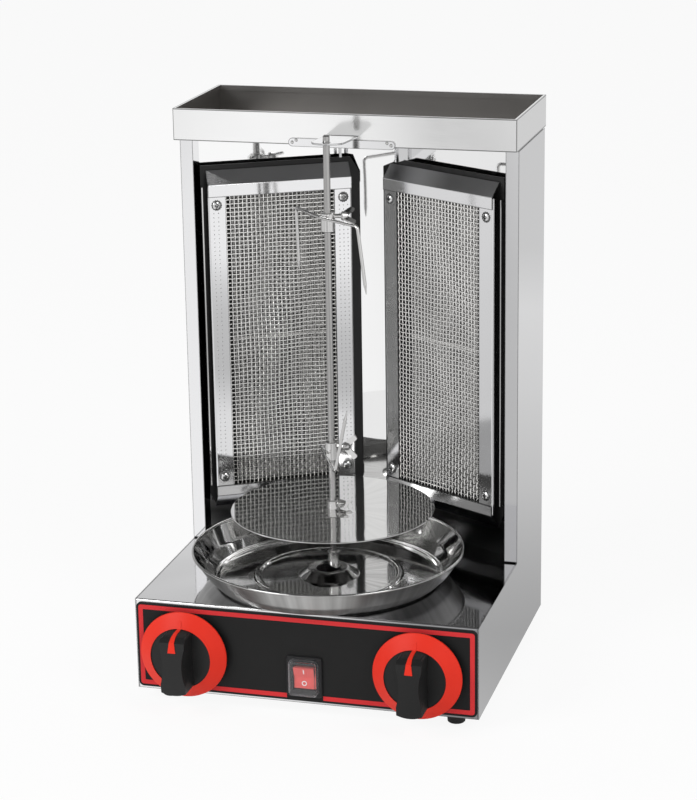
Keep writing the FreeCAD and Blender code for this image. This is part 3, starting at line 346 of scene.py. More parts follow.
def steel(name, colour, low, high, wave, grain=GRAIN_DEPTH, edge=0.0, mirrored=None):
    """Bare sheet or bar steel with grain in its gloss and slow waves in its reflections."""
    material, tree, _ = new_material(name)
    marks = use_group(tree, GRAIN, Low=low, High=high)
    # edge sets how strongly painted shade darkens the sharp edges
    tone = edge_shaded(tree, colour, edge) if edge else colour
    if mirrored:
        tone = in_mirrors(tree, tone, mirrored)
    return metal(material, tone, marks.outputs["Roughness"],
                 [(marks.outputs["Wave Height"], wave), (marks.outputs["Grain Height"], grain)])


def spun_steel(name, dark, light, low, high, centre, streak, ring, under_dull,
               wave=0.0, mirrored=None):
    """Round pressed steel: streaked outwards, finely ringed, and duller where it faces down."""
    material, tree, _ = new_material(name)
    marks = use_group(tree, SPUN, Centre_X=centre[0], Centre_Y=centre[1])
    tone = mixed_colour(tree, marks.outputs["Streak"], dark, light)
    if mirrored:
        tone = in_mirrors(tree, tone, mirrored)
    upwards = axes_of(tree, coordinates(tree, "Normal"))[2]
    under = math_node(tree, "LESS_THAN", upwards, -0.1)
    gloss = math_node(tree, "ADD", ranged(tree, marks.outputs["Ring"], low, high),
                      math_node(tree, "MULTIPLY", under, under_dull))
    bend = use_group(tree, GRAIN, Wave=16.0)
    return metal(material, tone, gloss,
                 [(marks.outputs["Streak"], streak), (marks.outputs["Ring"], ring),
                  (bend.outputs["Wave Height"], wave)])


def side_shaded_steel(name, left, right, start, end):
    """Polished sheet whose tone runs from one grey to another across X: a painted darker
    reflection towards +X.
    """
    material, tree, _ = new_material(name)
    marks = use_group(tree, GRAIN, Low=0.05, High=0.1)
    across = axes_of(tree, coordinates(tree))[0]
    # painted reflection: the tone darkens towards +X
    tone = mixed_colour(tree, ranged(tree, across, 0.0, 1.0, start, end), left, right)
    return metal(material, edge_shaded(tree, tone, 0.8), marks.outputs["Roughness"],
                 [(marks.outputs["Wave Height"], 0.0005)])


def tray_steel(name, node, rim, outside, inside, line=0.0009, skin=0.0003):
    """Mirror sheet outside with a dark line of painted shade on its edges; rougher within its rim
    and darkened there with painted shade.
    """
    material, tree, _ = new_material(name)
    low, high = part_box(node)
    mask = inside_mask(tree, (low[0] + rim, low[1] + rim, low[2] + skin),
                       (high[0] - rim, high[1] - rim, high[2] - skin))
    marks = use_group(tree, GRAIN, Low=0.1, High=0.16, Wave=7.0)
    # painted shade: darker within the rim
    tone = mixed_colour(tree, mask, outside, inside)
    # painted shade: a dark line along the box's edges
    edge = math_node(tree, "MULTIPLY", box_edges(tree, low, high, line), 0.75)
    gloss = math_node(tree, "ADD", marks.outputs["Roughness"],
                      math_node(tree, "MULTIPLY", mask, 0.22))
    return metal(material, mixed_colour(tree, edge, tone, PAINTED_EDGE_SHADE), gloss,
                 [(marks.outputs["Wave Height"], 0.0004)])


def liner_steel(name, colour, shade_tone, bend, low, high):
    """Mirror sheet whose slanted wings are rougher and darkened with painted shade towards their
    lower edge.

    The painted shade and the roughness run out from one height to another, and start sideways at
    the bend.
    """
    material, tree, _ = new_material(name)
    marks = use_group(tree, GRAIN, Low=0.03, High=0.05)
    place_x, _, place_z = axes_of(tree, coordinates(tree))
    sideways = math_node(tree, "ABSOLUTE", place_x)
    # painted shade towards the wings' lower edge
    mask = math_node(tree, "MULTIPLY", ranged(tree, sideways, 0.0, 1.0, bend, bend + 0.01),
                     ranged(tree, place_z, 1.0, 0.0, low, high))
    gloss = math_node(tree, "ADD", marks.outputs["Roughness"],
                      math_node(tree, "MULTIPLY", mask, 0.12))
    return metal(material, mixed_colour(tree, mask, colour, shade_tone), gloss,
                 [(marks.outputs["Wave Height"], 0.0009)])


def moulded(name, colour, roughness, size, depth, variation=0.15, specular=0.3,
            metallic=0.0, mirrored=None):
    """Plastic, rubber, paint or cast metal, finely textured and a little uneven in tone."""
    material, tree, shader = new_material(name)
    marks = use_group(tree, MOTTLE, Size=size)
    darker = [c * (1 - variation) for c in colour]
    lighter = [min(1.0, c * (1 + variation)) for c in colour]
    tone = mixed_colour(tree, marks.outputs["Mask"], darker, lighter)
    if mirrored:
        tone = in_mirrors(tree, tone, mirrored)
    tree.links.new(tone, shader.inputs["Base Color"])
    gloss = ranged(tree, marks.outputs["Mask"], roughness * 0.8, roughness * 1.2)
    tree.links.new(gloss, shader.inputs["Roughness"])
    shader.inputs["Metallic"].default_value = metallic
    shader.inputs["Specular IOR Level"].default_value = specular
    tree.links.new(bump_chain(tree, [(marks.outputs["Height"], depth)]), shader.inputs["Normal"])
    return material


def pierced_ceramic(name, colour, hole_spacing, mirrored):
    """Pale fired clay with rows of small burner holes in its face, painted dark with shade inside
    them.
    """
    material, tree, shader = new_material(name)
    holes = tree.nodes.new("ShaderNodeTexVoronoi")
    holes.inputs["Scale"].default_value = 1.0 / hole_spacing
    holes.inputs["Randomness"].default_value = 0.25
    tree.links.new(coordinates(tree), holes.inputs["Vector"])
    rim = ranged(tree, holes.outputs["Distance"], 0.0, 1.0, 0.38, 0.5)
    # painted shade: the holes drawn dark
    hole_shade = [c * 0.15 for c in colour]
    tone = in_mirrors(tree, mixed_colour(tree, rim, hole_shade, colour), mirrored)
    tree.links.new(tone, shader.inputs["Base Color"])
    shader.inputs["Roughness"].default_value = 0.9
    tree.links.new(bump_chain(tree, [(rim, 0.0004)]), shader.inputs["Normal"])
    return material


def clear_plastic(name):
    """Water-clear moulding with a painted pale sheen where it is seen at a steep angle.

    Light for what lies behind it passes straight through.
    """
    material, tree, shader = new_material(name)
    marks = use_group(tree, MOTTLE, Size=60.0)
    shader.inputs["Base Color"].default_value = (0.97, 0.97, 0.98, 1)
    tree.links.new(ranged(tree, marks.outputs["Mask"], 0.02, 0.05), shader.inputs["Roughness"])
    shader.inputs["Transmission Weight"].default_value = 1.0
    shader.inputs["IOR"].default_value = 1.45
    tree.links.new(bump_chain(tree, [(marks.outputs["Height"], 0.00002)]), shader.inputs["Normal"])
    # painted sheen: a pale diffuse mixed in at steep angles
    pale = tree.nodes.new("ShaderNodeBsdfDiffuse")
    pale.inputs["Color"].default_value = (0.6, 0.6, 0.62, 1)
    edge = tree.nodes.new("ShaderNodeLayerWeight")
    steep = math_node(tree, "POWER", edge.outputs["Facing"], 4.0)
    sheen_mixed = shader_mix(tree, math_node(tree, "MULTIPLY", steep, 0.7), shader.outputs[0],
                         pale.outputs[0])
    through = tree.nodes.new("ShaderNodeBsdfTransparent")
    seen = tree.nodes.new("ShaderNodeLightPath")
    light = math_node(tree, "MAXIMUM", seen.outputs["Is Shadow Ray"],
                      seen.outputs["Is Diffuse Ray"])
    tree.links.new(shader_mix(tree, light, sheen_mixed, through.outputs[0]),
                   tree.nodes["Material Output"].inputs["Surface"])
    return material


PALE_STEEL = (0.84, 0.84, 0.85)
# painted reflection: red parts are greyed as mirrors see them
RED_MIRRORED = (0.24, 0.16, 0.15)

STEELS = {
    "stainless_polished": dict(colour=PALE_STEEL, low=0.05, high=0.1, wave=0.0005, edge=0.8),
    "stainless_satin": dict(colour=(0.6, 0.6, 0.61), low=0.2, high=0.34, wave=0.0004,
                            grain=0.00001),
    "steel_bright": dict(colour=(0.66, 0.655, 0.65), low=0.08, high=0.18, wave=0.0001),
    # mirrored is a painted reflection: the wires are darker as mirrors see them
    "mesh_wire": dict(colour=(0.97, 0.96, 0.94), low=0.14, high=0.26, wave=0.0001,
                      mirrored=(0.52, 0.52, 0.51)),
    "brass": dict(colour=(0.72, 0.53, 0.24), low=0.2, high=0.35, wave=0.0001),
    "gas_aluminium": dict(colour=(0.7, 0.7, 0.71), low=0.25, high=0.4, wave=0.0001),
}
MOULDINGS = {
    "black_enamel": dict(colour=grey(0.012), roughness=0.4, size=700.0, depth=0.00003),
    "cast_grey": dict(colour=(0.2, 0.2, 0.21), roughness=0.6, size=500.0, depth=0.0002,
                      metallic=0.6),
    "rubber_black": dict(colour=grey(0.02), roughness=0.6, size=900.0, depth=0.00005),
    "panel_black": dict(colour=grey(0.013), roughness=0.45, size=2500.0, depth=0.00001,
                        specular=0.15),
    "line_red": dict(colour=(0.66, 0.036, 0.04), roughness=0.45, size=2500.0, depth=0.00001,
                     variation=0.04, specular=0.15, mirrored=RED_MIRRORED),
    "knob_red": dict(colour=(0.78, 0.03, 0.013), roughness=0.45, size=1800.0, depth=0.00001,
                     variation=0.04, specular=0.2, mirrored=RED_MIRRORED),
    "knob_black": dict(colour=grey(0.012), roughness=0.4, size=2200.0, depth=0.00003),
    "switch_black": dict(colour=(0.012, 0.012, 0.013), roughness=0.4, size=2200.0,
                         depth=0.00002),
    "switch_red": dict(colour=(0.75, 0.1, 0.09), roughness=0.25, size=1500.0, depth=0.00001,
                       variation=0.05),
    "gas_steel": dict(colour=(0.45, 0.45, 0.46), roughness=0.4, size=700.0, depth=0.00002,
                      metallic=1.0),
    "motor_grey": dict(colour=(0.32, 0.33, 0.34), roughness=0.45, size=700.0, depth=0.00002,
                       metallic=0.8),
}
FINISH = {name: steel(name, **values) for name, values in STEELS.items()}
FINISH.update((name, moulded(name, **values)) for name, values in MOULDINGS.items())
# mirrored is a painted reflection: the clay almost black as mirrors see it
FINISH["burner_ceramic"] = pierced_ceramic(
    "burner_ceramic", (0.56, 0.55, 0.54), hole_spacing=0.0022, mirrored=grey(0.07))
FINISH["cover_clear"] = clear_plastic("cover_clear")

OWN_FINISH = {
    "base_top": side_shaded_steel("top_sheet", PALE_STEEL, (0.42, 0.42, 0.43),
                                 start=-0.02, end=0.09),
    "back_liner": liner_steel("liner_mirror", grey(0.96), grey(0.3), bend=0.0264,
                              low=0.13, high=0.17),
    # painted shade: the hidden underside is dark grey so that the frames' flaps mirror shade
    "roof_plate": steel("roof_underside", grey(0.28), low=0.3, high=0.4, wave=0.0003),
    "top_tray": tray_steel("tray_sheet", "top_tray", 0.0005, grey(0.95), (0.31, 0.3, 0.29)),
    "spit_rod": steel("rod_steel", (0.44, 0.435, 0.43), low=0.1, high=0.2, wave=0.0001),
    # painted shade along its edges, and a painted reflection: darker as mirrors see it
    "spit_bracket": steel("bracket_steel", PALE_STEEL, low=0.05, high=0.1, wave=0.0005,
                          edge=0.8, mirrored=grey(0.5)),
    # painted shade: the right frame a little darker than the left frame's polished steel
    "burner_frame_right": steel("frame_right", (0.8, 0.8, 0.81), low=0.07, high=0.13,
                                wave=0.0005, edge=0.8),
}
# screw heads: dark outlines of painted shade along their edges
SCREW_FINISH = steel("screw_steel", grey(0.7), low=0.06, high=0.14, wave=0.00005, edge=0.9)
WASHER_FINISH = steel("washer_steel", grey(0.16), low=0.25, high=0.4, wave=0.00005)
# pressed spots: a little darker than the strip, with painted shade round their edges
SPOT_FINISH = steel("spot_steel", grey(0.78), low=0.1, high=0.2, wave=0.0001, edge=0.3)
# mirrored is a painted reflection: the plate is lighter as mirrors see it
DISC_FINISH = spun_steel("disc_steel", (0.6, 0.595, 0.59), (0.74, 0.74, 0.73), low=0.03,
                         high=0.07, centre=row(*SPIT_AXIS), streak=0.000004, ring=0.000002,
                         under_dull=0.0, wave=0.0004, mirrored=grey(0.85))
PAN_FINISH = spun_steel("pan_steel", (0.28, 0.275, 0.27), (0.68, 0.68, 0.67), low=0.04,
                        high=0.1, centre=row(*PAN_MIDDLE), streak=0.00004, ring=0.000006,
                        under_dull=0.3)
MARK_WHITE = moulded("mark_white", grey(0.85), roughness=0.4, size=2500.0, depth=0.00001,
                     variation=0.03)
CEMENT = moulded("joint_cement", (0.8, 0.79, 0.77), roughness=0.8, size=900.0, depth=0.00005)


def node_slot(node):
    return node.data.materials[0].name.split(".")[0]


NODE_SLOT = {name: node_slot(node) for name, node in frame["nodes"].items()}
for name, node in frame["nodes"].items():
    for material_slot in node.material_slots:
        material_slot.material = OWN_FINISH.get(name, FINISH[NODE_SLOT[name]])


# Surfaces from formulas, in millimetres of the drawing frame until they are added


def grid_faces(rows, columns, closed_rows=False, closed_columns=False):
    """Corner numbers of the quads between neighbours in a grid of points numbered by rows."""
    row_number = np.arange(rows if closed_rows else rows - 1)[:, None]
    column = np.arange(columns if closed_columns else columns - 1)[None, :]
    next_row = (row_number + 1) % rows
    next_column = (column + 1) % columns
    corners = np.broadcast_arrays(
        row_number * columns + column, row_number * columns + next_column,
        next_row * columns + next_column, next_row * columns + column)
    return np.stack(corners, axis=-1).reshape(-1, 4)


def repeated(faces, copies, points_each):
    """The same faces for a number of copies whose points follow one another."""
    shift = (np.arange(copies) * points_each)[:, None, None]
    return (faces[None] + shift).reshape(-1, faces.shape[1])


def distinct(faces):
    """Whether the corners of each face all differ."""
    return (np.diff(np.sort(faces, axis=1), axis=1) > 0).all(axis=1)


def weld(points, faces):
    """Merge points that coincide; a quad that loses a corner becomes a triangle."""
    _, first, same = np.unique(np.round(points, 7), axis=0, return_index=True,
                               return_inverse=True)
    faces = same.reshape(-1)[faces]
    whole = distinct(faces)
    if faces.shape[1] == 3:
        return points[first], faces[:0], faces[whole]
    broken = faces[~whole]
    halves = np.concatenate([broken[:, [0, 1, 2]], broken[:, [0, 2, 3]]])
    return points[first], faces[whole], halves[distinct(halves)]


def to_row(points):
    """Drawing millimetres to row-frame metres."""
    return (points + np.array([0.0, FRONT_Y, BASE_Z])) * MM


def add_object(name, data):
    thing = bpy.data.objects.new(name, data)
    bpy.context.scene.collection.objects.link(thing)
    return thing


def add_piece(name, surfaces, body, slot, replaced=(), finish=None, sharp=30.0):
    """A mesh of (points in metres, faces) surfaces, with its finish, riding on a body."""
    points = []
    faces = []
    count = 0
    for part_points, part_faces in surfaces:
        kept, quads, triangles = weld(part_points.reshape(-1, 3), part_faces)
        points.append(kept)
        faces += (quads + count).tolist() + (triangles + count).tolist()
        count += len(kept)
    mesh = bpy.data.meshes.new(name)
    mesh.from_pydata(np.concatenate(points).tolist(), [], faces)
    mesh.shade_smooth()
    mesh.set_sharp_from_angle(angle=math.radians(sharp))
    mesh.materials.append(finish or FINISH[slot])
    thing = add_object(name, mesh)
    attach(thing, body)
    if replaced:
        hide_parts(*replaced)
    return thing


def smooth_copy(name):
    """A solid's own surface with its doubled points merged, so that its curves reflect evenly."""
    node = frame["nodes"][name]
    points = np.empty(3 * len(node.data.vertices), np.float32)
    corners = np.empty(len(node.data.loops), np.int32)
    node.data.vertices.foreach_get("co", points)
    node.data.loops.foreach_get("vertex_index", corners)
    surface = (points.reshape(-1, 3).astype(float), corners.reshape(-1, 3))
    thing = add_piece(name + "_smooth", [surface], node["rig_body"], NODE_SLOT[name], [name],
                      OWN_FINISH.get(name))
    thing.modifiers.new("even_normals", "WEIGHTED_NORMAL").keep_sharp = True


def circle(segments):
    """Angles of evenly spaced points on a circle."""
    return 2 * np.pi * np.arange(segments) / segments


def turned(radii, heights, segments):
    """P(i, a) = (r(i, a) cos a, r(i, a) sin a, h(i, a)), for an outline of radii and heights."""
    angle = circle(segments)
    radii = np.asarray(radii, float).reshape(len(radii), -1)
    heights = np.asarray(heights, float).reshape(len(heights), -1)
    return np.stack(np.broadcast_arrays(radii * np.cos(angle), radii * np.sin(angle), heights),
                    axis=-1)


def ring_surface(outline, segments, centre):
    """A closed outline of (radius, height) points carried round an upright axis."""
    outline = np.asarray(outline, float)
    points = turned(outline[:, 0], outline[:, 1], segments) + np.asarray(centre)
    return to_row(points), grid_faces(len(outline), segments, True, True)


def box_surface(low, high):
    """The six faces of a box between two corners, facing outwards."""
    corners = np.array([(x, y, z) for x in (low[0], high[0]) for y in (low[1], high[1])
                        for z in (low[2], high[2])], float)
    faces = np.array([(0, 1, 3, 2), (4, 6, 7, 5), (0, 4, 5, 1), (2, 3, 7, 6), (0, 2, 6, 4),
                      (1, 5, 7, 3)])
    return corners, faces


def rounded_line(corners, bends, steps=7, guard=0.3):
    """Straight runs through (u, v) corners, each inner corner an arc of its own radius.

    An arc with middle m from s to e over the angle w is
    m + (s sin((1 - t) w) + e sin(t w)) / sin(w). A guard point before and after it keeps the
    straight runs flat where the mesh is shaded smooth.
    """
    corners = np.asarray(corners, float)
    points = [corners[:1]]
    for before, corner, after, bend in zip(corners, corners[1:], corners[2:], bends):
        back = (before - corner) / np.linalg.norm(before - corner)
        ahead = (after - corner) / np.linalg.norm(after - corner)
        half = math.acos(np.clip(back @ ahead, -1.0, 1.0)) / 2
        inwards = (back + ahead) / np.linalg.norm(back + ahead)
        middle = corner + inwards * bend / math.sin(half)
        start = corner + back * bend / math.tan(half) - middle
        end = corner + ahead * bend / math.tan(half) - middle
        sweep = np.pi - 2 * half
        turn = np.linspace(0, 1, steps)[:, None]
        arc = np.sin((1 - turn) * sweep) * start + np.sin(turn * sweep) * end
        points += [(middle + start + back * guard)[None], middle + arc / math.sin(sweep),
                   (middle + end + ahead * guard)[None]]
    points.append(corners[-1:])
    return np.concatenate(points)


def sheet_outline(line, thickness):
    """Closed outline of a sheet whose middle is a line: out below it and back above it."""
    run = np.gradient(line, axis=0)
    run /= np.linalg.norm(run, axis=1, keepdims=True)
    shift = np.stack([-run[:, 1], run[:, 0]], axis=1) * thickness / 2
    return np.concatenate([line - shift, (line + shift)[::-1]])


# Pan and plate, as (radius, height) sections

PAN_SHEET = 0.8
PAN_LINE = [(11.7, 6.4), (18.7, 7.4), (28.0, 0.4), (63.0, 0.4), (64.8, 2.3), (68.2, 2.3),
            (70.0, 0.4), (101.5, 0.4), (103.5, 1.5), (106.0, 1.5), (114.5, 10.0), (125.3, 26.7)]
PAN_BENDS = [2.5, 3.0, 1.4, 1.4, 1.4, 1.4, 2.0, 2.0, 3.0, 18.0]
PAN_BEAD = 1.3
DISC_RADIUS = 94.0
DISC_BORE = 3.9
DISC_BOTTOM = 151.2
DISC_TOP = 152.4
DISC_EDGE = 0.3


def rolled_rim(radius, height, bead, steps=16):
    """A round bead: (radius, height) of its middle plus bead * (cos a, sin a)."""
    angle = circle(steps)
    return np.stack([radius + bead * np.cos(angle), height + bead * np.sin(angle)], axis=1)


def make_pan(segments=240):
    """Pressed pan: the bent sheet of its section and the rolled rim, carried round its middle."""
    shell = sheet_outline(rounded_line(PAN_LINE, PAN_BENDS), PAN_SHEET)
    rim = rolled_rim(*PAN_LINE[-1], PAN_BEAD)
    surfaces = [ring_surface(outline, segments, PAN_MIDDLE) for outline in (shell, rim)]
    add_piece("pressed_pan", surfaces, "pan", NODE_SLOT["drip_pan"], ["drip_pan"], PAN_FINISH)


def make_disc(segments=256):
    """Round plate with softened edges."""
    inner = DISC_RADIUS - DISC_EDGE
    outline = [(DISC_BORE, DISC_BOTTOM), (inner, DISC_BOTTOM),
               (DISC_RADIUS, DISC_BOTTOM + DISC_EDGE), (DISC_RADIUS, DISC_TOP - DISC_EDGE),
               (inner, DISC_TOP), (DISC_BORE, DISC_TOP)]
    add_piece("turned_plate", [ring_surface(outline, segments, SPIT_AXIS)], "disc",
              NODE_SLOT["meat_disc"], ["meat_disc"], DISC_FINISH)


# Burners, in their own frame: across from the inner edge, deep to the back, height as drawn

HALF_WIDTH = 160.0
COLUMN_FRONT = 166.0
BURNER_SIDE_GAP = 24.69
BURNER_SETBACK = 2.9
BURNER_TURN = math.radians(30.0)
BURNER_INNER_X = 15.8
BURNER_WIDTH = (HALF_WIDTH - BURNER_SIDE_GAP - BURNER_INNER_X) / math.cos(BURNER_TURN)
BURNER_INNER_Y = COLUMN_FRONT + BURNER_SETBACK + BURNER_WIDTH * math.sin(BURNER_TURN)
BURNER_BOTTOM = 130.5
BURNER_TOP = 435.5
SIDE_STRIP = 16.7
TOP_STRIP = 11.4
BOTTOM_STRIP = 10.1
WIRE_PITCH = 4.0
WIRE_RADIUS = 0.6
WIRE_SWING = 0.5
WIRE_MIDDLE = 2.0
WIRE_SIDES = 5
MESH_MARGIN = 5.0
MESH_DRIFT = 0.7
MESH_BULGE = 2.0
SCREW_INSET = 8.0
SCREW_RISE = 19.3


def from_burner(side, points):
    """Burner coordinates to the row frame; the left burner is the right one mirrored."""
    across, deep, height = points[..., 0], points[..., 1], points[..., 2]
    cos, sin = math.cos(BURNER_TURN), math.sin(BURNER_TURN)
    x = side * (BURNER_INNER_X + across * cos + deep * sin)
    y = BURNER_INNER_Y - across * sin + deep * cos
    return to_row(np.stack([x, y, height], axis=-1))


def burner_surface(side, points, faces):
    """A surface placed on a burner, with its faces turned over where it is mirrored."""
    return from_burner(side, points), faces if side > 0 else faces[:, ::-1]


def tubes(centres, first_way, second_way):
    """Round wires P(w, j, k) = c(w, j) + r(j) (cos a(k) u + sin a(k) v), r = 0 at both ends."""
    centres = np.concatenate([centres[:, :1], centres, centres[:, -1:]], axis=1)
    wires, steps = centres.shape[:2]
    radius = np.full(steps, WIRE_RADIUS)
    radius[[0, -1]] = 0.0
    angle = circle(WIRE_SIDES)[:, None]
    ring = np.cos(angle) * np.array(first_way) + np.sin(angle) * np.array(second_way)
    points = centres[:, :, None, :] + radius[None, :, None, None] * ring[None, None]
    faces = repeated(grid_faces(steps, WIRE_SIDES, closed_columns=True), wires,
                     steps * WIRE_SIDES)
    return points.reshape(-1, 3), faces


def woven_mesh(side, name):
    """Plain weave: at crossing (i, j) one wire is at depth m + s (-1)^(i + j), the other m - it.

    Inside its clamped edges, with e = sin(pi u) sin(pi v) over the mesh, the crossings drift
    in slow waves, across by d e sin(5 pi v + 6 u) and in height by d e sin(4 pi u + 9 v), and
    the middle m lies b e deeper.
    """
    start = SIDE_STRIP - MESH_MARGIN
    low = BURNER_BOTTOM + BOTTOM_STRIP - MESH_MARGIN
    wide = BURNER_WIDTH - 2 * start
    tall = BURNER_TOP - TOP_STRIP + MESH_MARGIN - low
    columns = int(wide // WIRE_PITCH) + 1
    rows = int(tall // WIRE_PITCH) + 1
    across = start + (wide - (columns - 1) * WIRE_PITCH) / 2 + np.arange(columns) * WIRE_PITCH
    height = low + (tall - (rows - 1) * WIRE_PITCH) / 2 + np.arange(rows) * WIRE_PITCH
    across, height = np.meshgrid(across, height, indexing="ij")
    u, v = (across - start) / wide, (height - low) / tall
    free = np.sin(np.pi * u) * np.sin(np.pi * v)
    across = across + MESH_DRIFT * free * np.sin(5 * np.pi * v + 6 * u)
    height = height + MESH_DRIFT * free * np.sin(4 * np.pi * u + 9 * v)
    middle = WIRE_MIDDLE + MESH_BULGE * free
    swing = WIRE_SWING * (-1.0) ** np.add.outer(np.arange(columns), np.arange(rows))
    upright = np.stack([across, middle + swing, height], axis=-1)
    level = np.stack([across, middle - swing, height], axis=-1).transpose(1, 0, 2)
    surfaces = [burner_surface(side, *tubes(upright, (1, 0, 0), (0, 1, 0))),
                burner_surface(side, *tubes(level, (0, 1, 0), (0, 0, 1)))]
    node = "burner_mesh_" + name
    add_piece("woven_mesh_" + name, surfaces, "cabinet", NODE_SLOT[node], [node])


DOME_RADII = np.array([3.9, 3.6, 3.1, 2.6, 2.2, 1.95, 1.8, 1.5, 1.2, 0.9, 0.6, 0.3, 0.0])
SCREW_SHANK = np.array([(0.0, -13.5), (1.9, -13.5), (1.9, 0.0), (4.0, 0.0), (4.0, 0.7)])
HEAD_RADIUS = 4.0
CROWN_HEIGHT = 2.2
CROWN_FALL = 1.3
RECESS_DEPTH = 1.1
RECESS_RADIUS = 1.95
RECESS_SLOPE = 0.15
SLOT_HALF = 0.62
SLOT_SLOPE = 0.25
WASHER_RADIUS = 4.9
WASHER_TOOTH = 0.3
WASHER_TEETH = 14
WASHER_GAP = 0.05
WASHER_HEIGHTS = (0.02, 0.02, 0.5, 0.6)


def screw_surface(segments=48):
    """Pan-head screw with a crossed recess, its axis on Z and its seat at 0.

    The dome's height is 2.2 - 1.3 (r / 4)^3, less a recess where |x| or |y| is under about
    0.5 and r under about 1.9.
    """
    dome = DOME_RADII[:, None]
    angle = circle(segments)
    near = np.minimum(np.abs(dome * np.cos(angle)), np.abs(dome * np.sin(angle)))
    recess = (np.clip((SLOT_HALF - near) / SLOT_SLOPE, 0, 1)
              * np.clip((RECESS_RADIUS - dome) / RECESS_SLOPE, 0, 1))
    crown = CROWN_HEIGHT - CROWN_FALL * (dome / HEAD_RADIUS) ** 3 - RECESS_DEPTH * recess
    radii = np.concatenate([SCREW_SHANK[:, 0], DOME_RADII])
    heights = np.concatenate([np.repeat(SCREW_SHANK[:, 1:], segments, axis=1), crown])
    return turned(radii, heights, segments), grid_faces(len(radii), segments,
                                                        closed_columns=True)


def washer_surface(segments=84):
    """Toothed ring round a screw's head, its outer radius 4.9 + 0.3 cos(14 a), its seat at 0."""
    teeth = WASHER_RADIUS + WASHER_TOOTH * np.cos(WASHER_TEETH * circle(segments))
    inner = np.full(segments, HEAD_RADIUS + WASHER_GAP)
    radii = np.stack([inner, teeth, teeth, inner])
    return turned(radii, WASHER_HEIGHTS, segments), grid_faces(4, segments, True, True)


def at_screws(name, shape, finish, replaced=()):
    """One piece of a shape placed at each of the eight screws of the burner frames."""
    surfaces = []
    points, faces = shape
    for side in (-1, 1):
        for across in (SCREW_INSET, BURNER_WIDTH - SCREW_INSET):
            for height in (BURNER_BOTTOM + SCREW_RISE, BURNER_TOP - SCREW_RISE):
                placed = np.stack([across + points[..., 0], -points[..., 2],
                                   height + points[..., 1]], axis=-1)
                surfaces.append(burner_surface(side, placed, faces))
    add_piece(name, surfaces, "cabinet", NODE_SLOT["burner_screws"], replaced, finish)


DIMPLE_OUTLINE = np.array([(0.0, -0.05), (0.65, -0.05), (0.45, 0.16), (0.0, 0.24)])
DIMPLE_SIDES = 8
DIMPLE_COLUMNS = (4.0, 8.0, 12.0, BURNER_WIDTH - 9.5, BURNER_WIDTH - 5.0)
DIMPLE_END = 14.0
SCREW_CLEAR = 6.0


def weld_dimples(side, name):
    """Rows of small pressed spots on the side strips, left out round the screws."""
    height = np.arange(BURNER_BOTTOM + DIMPLE_END, BURNER_TOP - DIMPLE_END, WIRE_PITCH)
    across, height = np.meshgrid(DIMPLE_COLUMNS, height)
    across, height = across.ravel(), height.ravel()
    from_screw = np.minimum(abs(height - BURNER_BOTTOM - SCREW_RISE),
                            abs(height - BURNER_TOP + SCREW_RISE))
    across, height = across[from_screw > SCREW_CLEAR], height[from_screw > SCREW_CLEAR]
    spot = turned(DIMPLE_OUTLINE[:, 0], DIMPLE_OUTLINE[:, 1], DIMPLE_SIDES).reshape(-1, 3)
    points = np.stack([across[:, None] + spot[:, 0],
                       np.broadcast_to(-spot[:, 2], (len(across), len(spot))),
                       height[:, None] + spot[:, 1]], axis=-1)
    faces = repeated(grid_faces(len(DIMPLE_OUTLINE), DIMPLE_SIDES, closed_columns=True),
                     len(across), len(spot))
    add_piece("strip_dimples_" + name, [burner_surface(side, points.reshape(-1, 3), faces)],
              "cabinet", NODE_SLOT["burner_frame_" + name], finish=SPOT_FINISH, sharp=60.0)


LIP_OUT = 4.8
LIP_SHEET = 1.2
LIP_FRONT = 6.2
LIP_BACK = 6.5
LIP_FOOT = 9.5
LIP_HEAD = 3.0


def shield_edge(side, name):
    """Bright cut edge along the folded lip of a shield."""
    outer = BURNER_WIDTH + LIP_OUT
    low = (outer - LIP_SHEET, LIP_FRONT, BURNER_BOTTOM + LIP_FOOT)
    high = (outer, LIP_BACK, BURNER_TOP - LIP_HEAD)
    add_piece("shield_edge_" + name, [burner_surface(side, *box_surface(low, high))], "cabinet",
              "steel_bright")


PLAQUE_INSET = 6.3
PLAQUE_HALF_WIDTH = BURNER_WIDTH / 2 - SIDE_STRIP - PLAQUE_INSET
JOINT_HEIGHT = (BURNER_BOTTOM + BURNER_TOP) / 2
JOINT_BOXES = ((0.48, 12.7, 24.5), (0.95, 12.35, 12.7))


def plaque_joint(side, name):
    """Cement between two plaques: a thin seam, and a wider bead in front between their bevels.

    Each box is given by its half height and its front and back.
    """
    surfaces = []
    for half_height, front, back in JOINT_BOXES:
        low = (BURNER_WIDTH / 2 - PLAQUE_HALF_WIDTH, front, JOINT_HEIGHT - half_height)
        high = (BURNER_WIDTH / 2 + PLAQUE_HALF_WIDTH, back, JOINT_HEIGHT + half_height)
        surfaces.append(burner_surface(side, *box_surface(low, high)))
    add_piece("plaque_joint_" + name, surfaces, "cabinet", "burner_ceramic", finish=CEMENT)


# Rocker marks and the threaded inlet

ROCKER_PIVOT_Y = 1.5
ROCKER_Z = 26.5
ROCKER_TILT = math.radians(9.0)
FINGER_FALL = 1.6         # how far each finger face falls back over its height
FINGER_HEIGHT = 9.9
FINGER_START = 0.6
FINGER_FRONT = -4.0
MARK_SUNK = -0.02
MARK_PROUD = 0.15
STROKE_HALF = (0.45, 2.4)
STROKE_MIDDLE = 6.4
RING_MIDDLE = -5.6
RING_RADII = (1.6, 2.4, 2.4, 1.6)


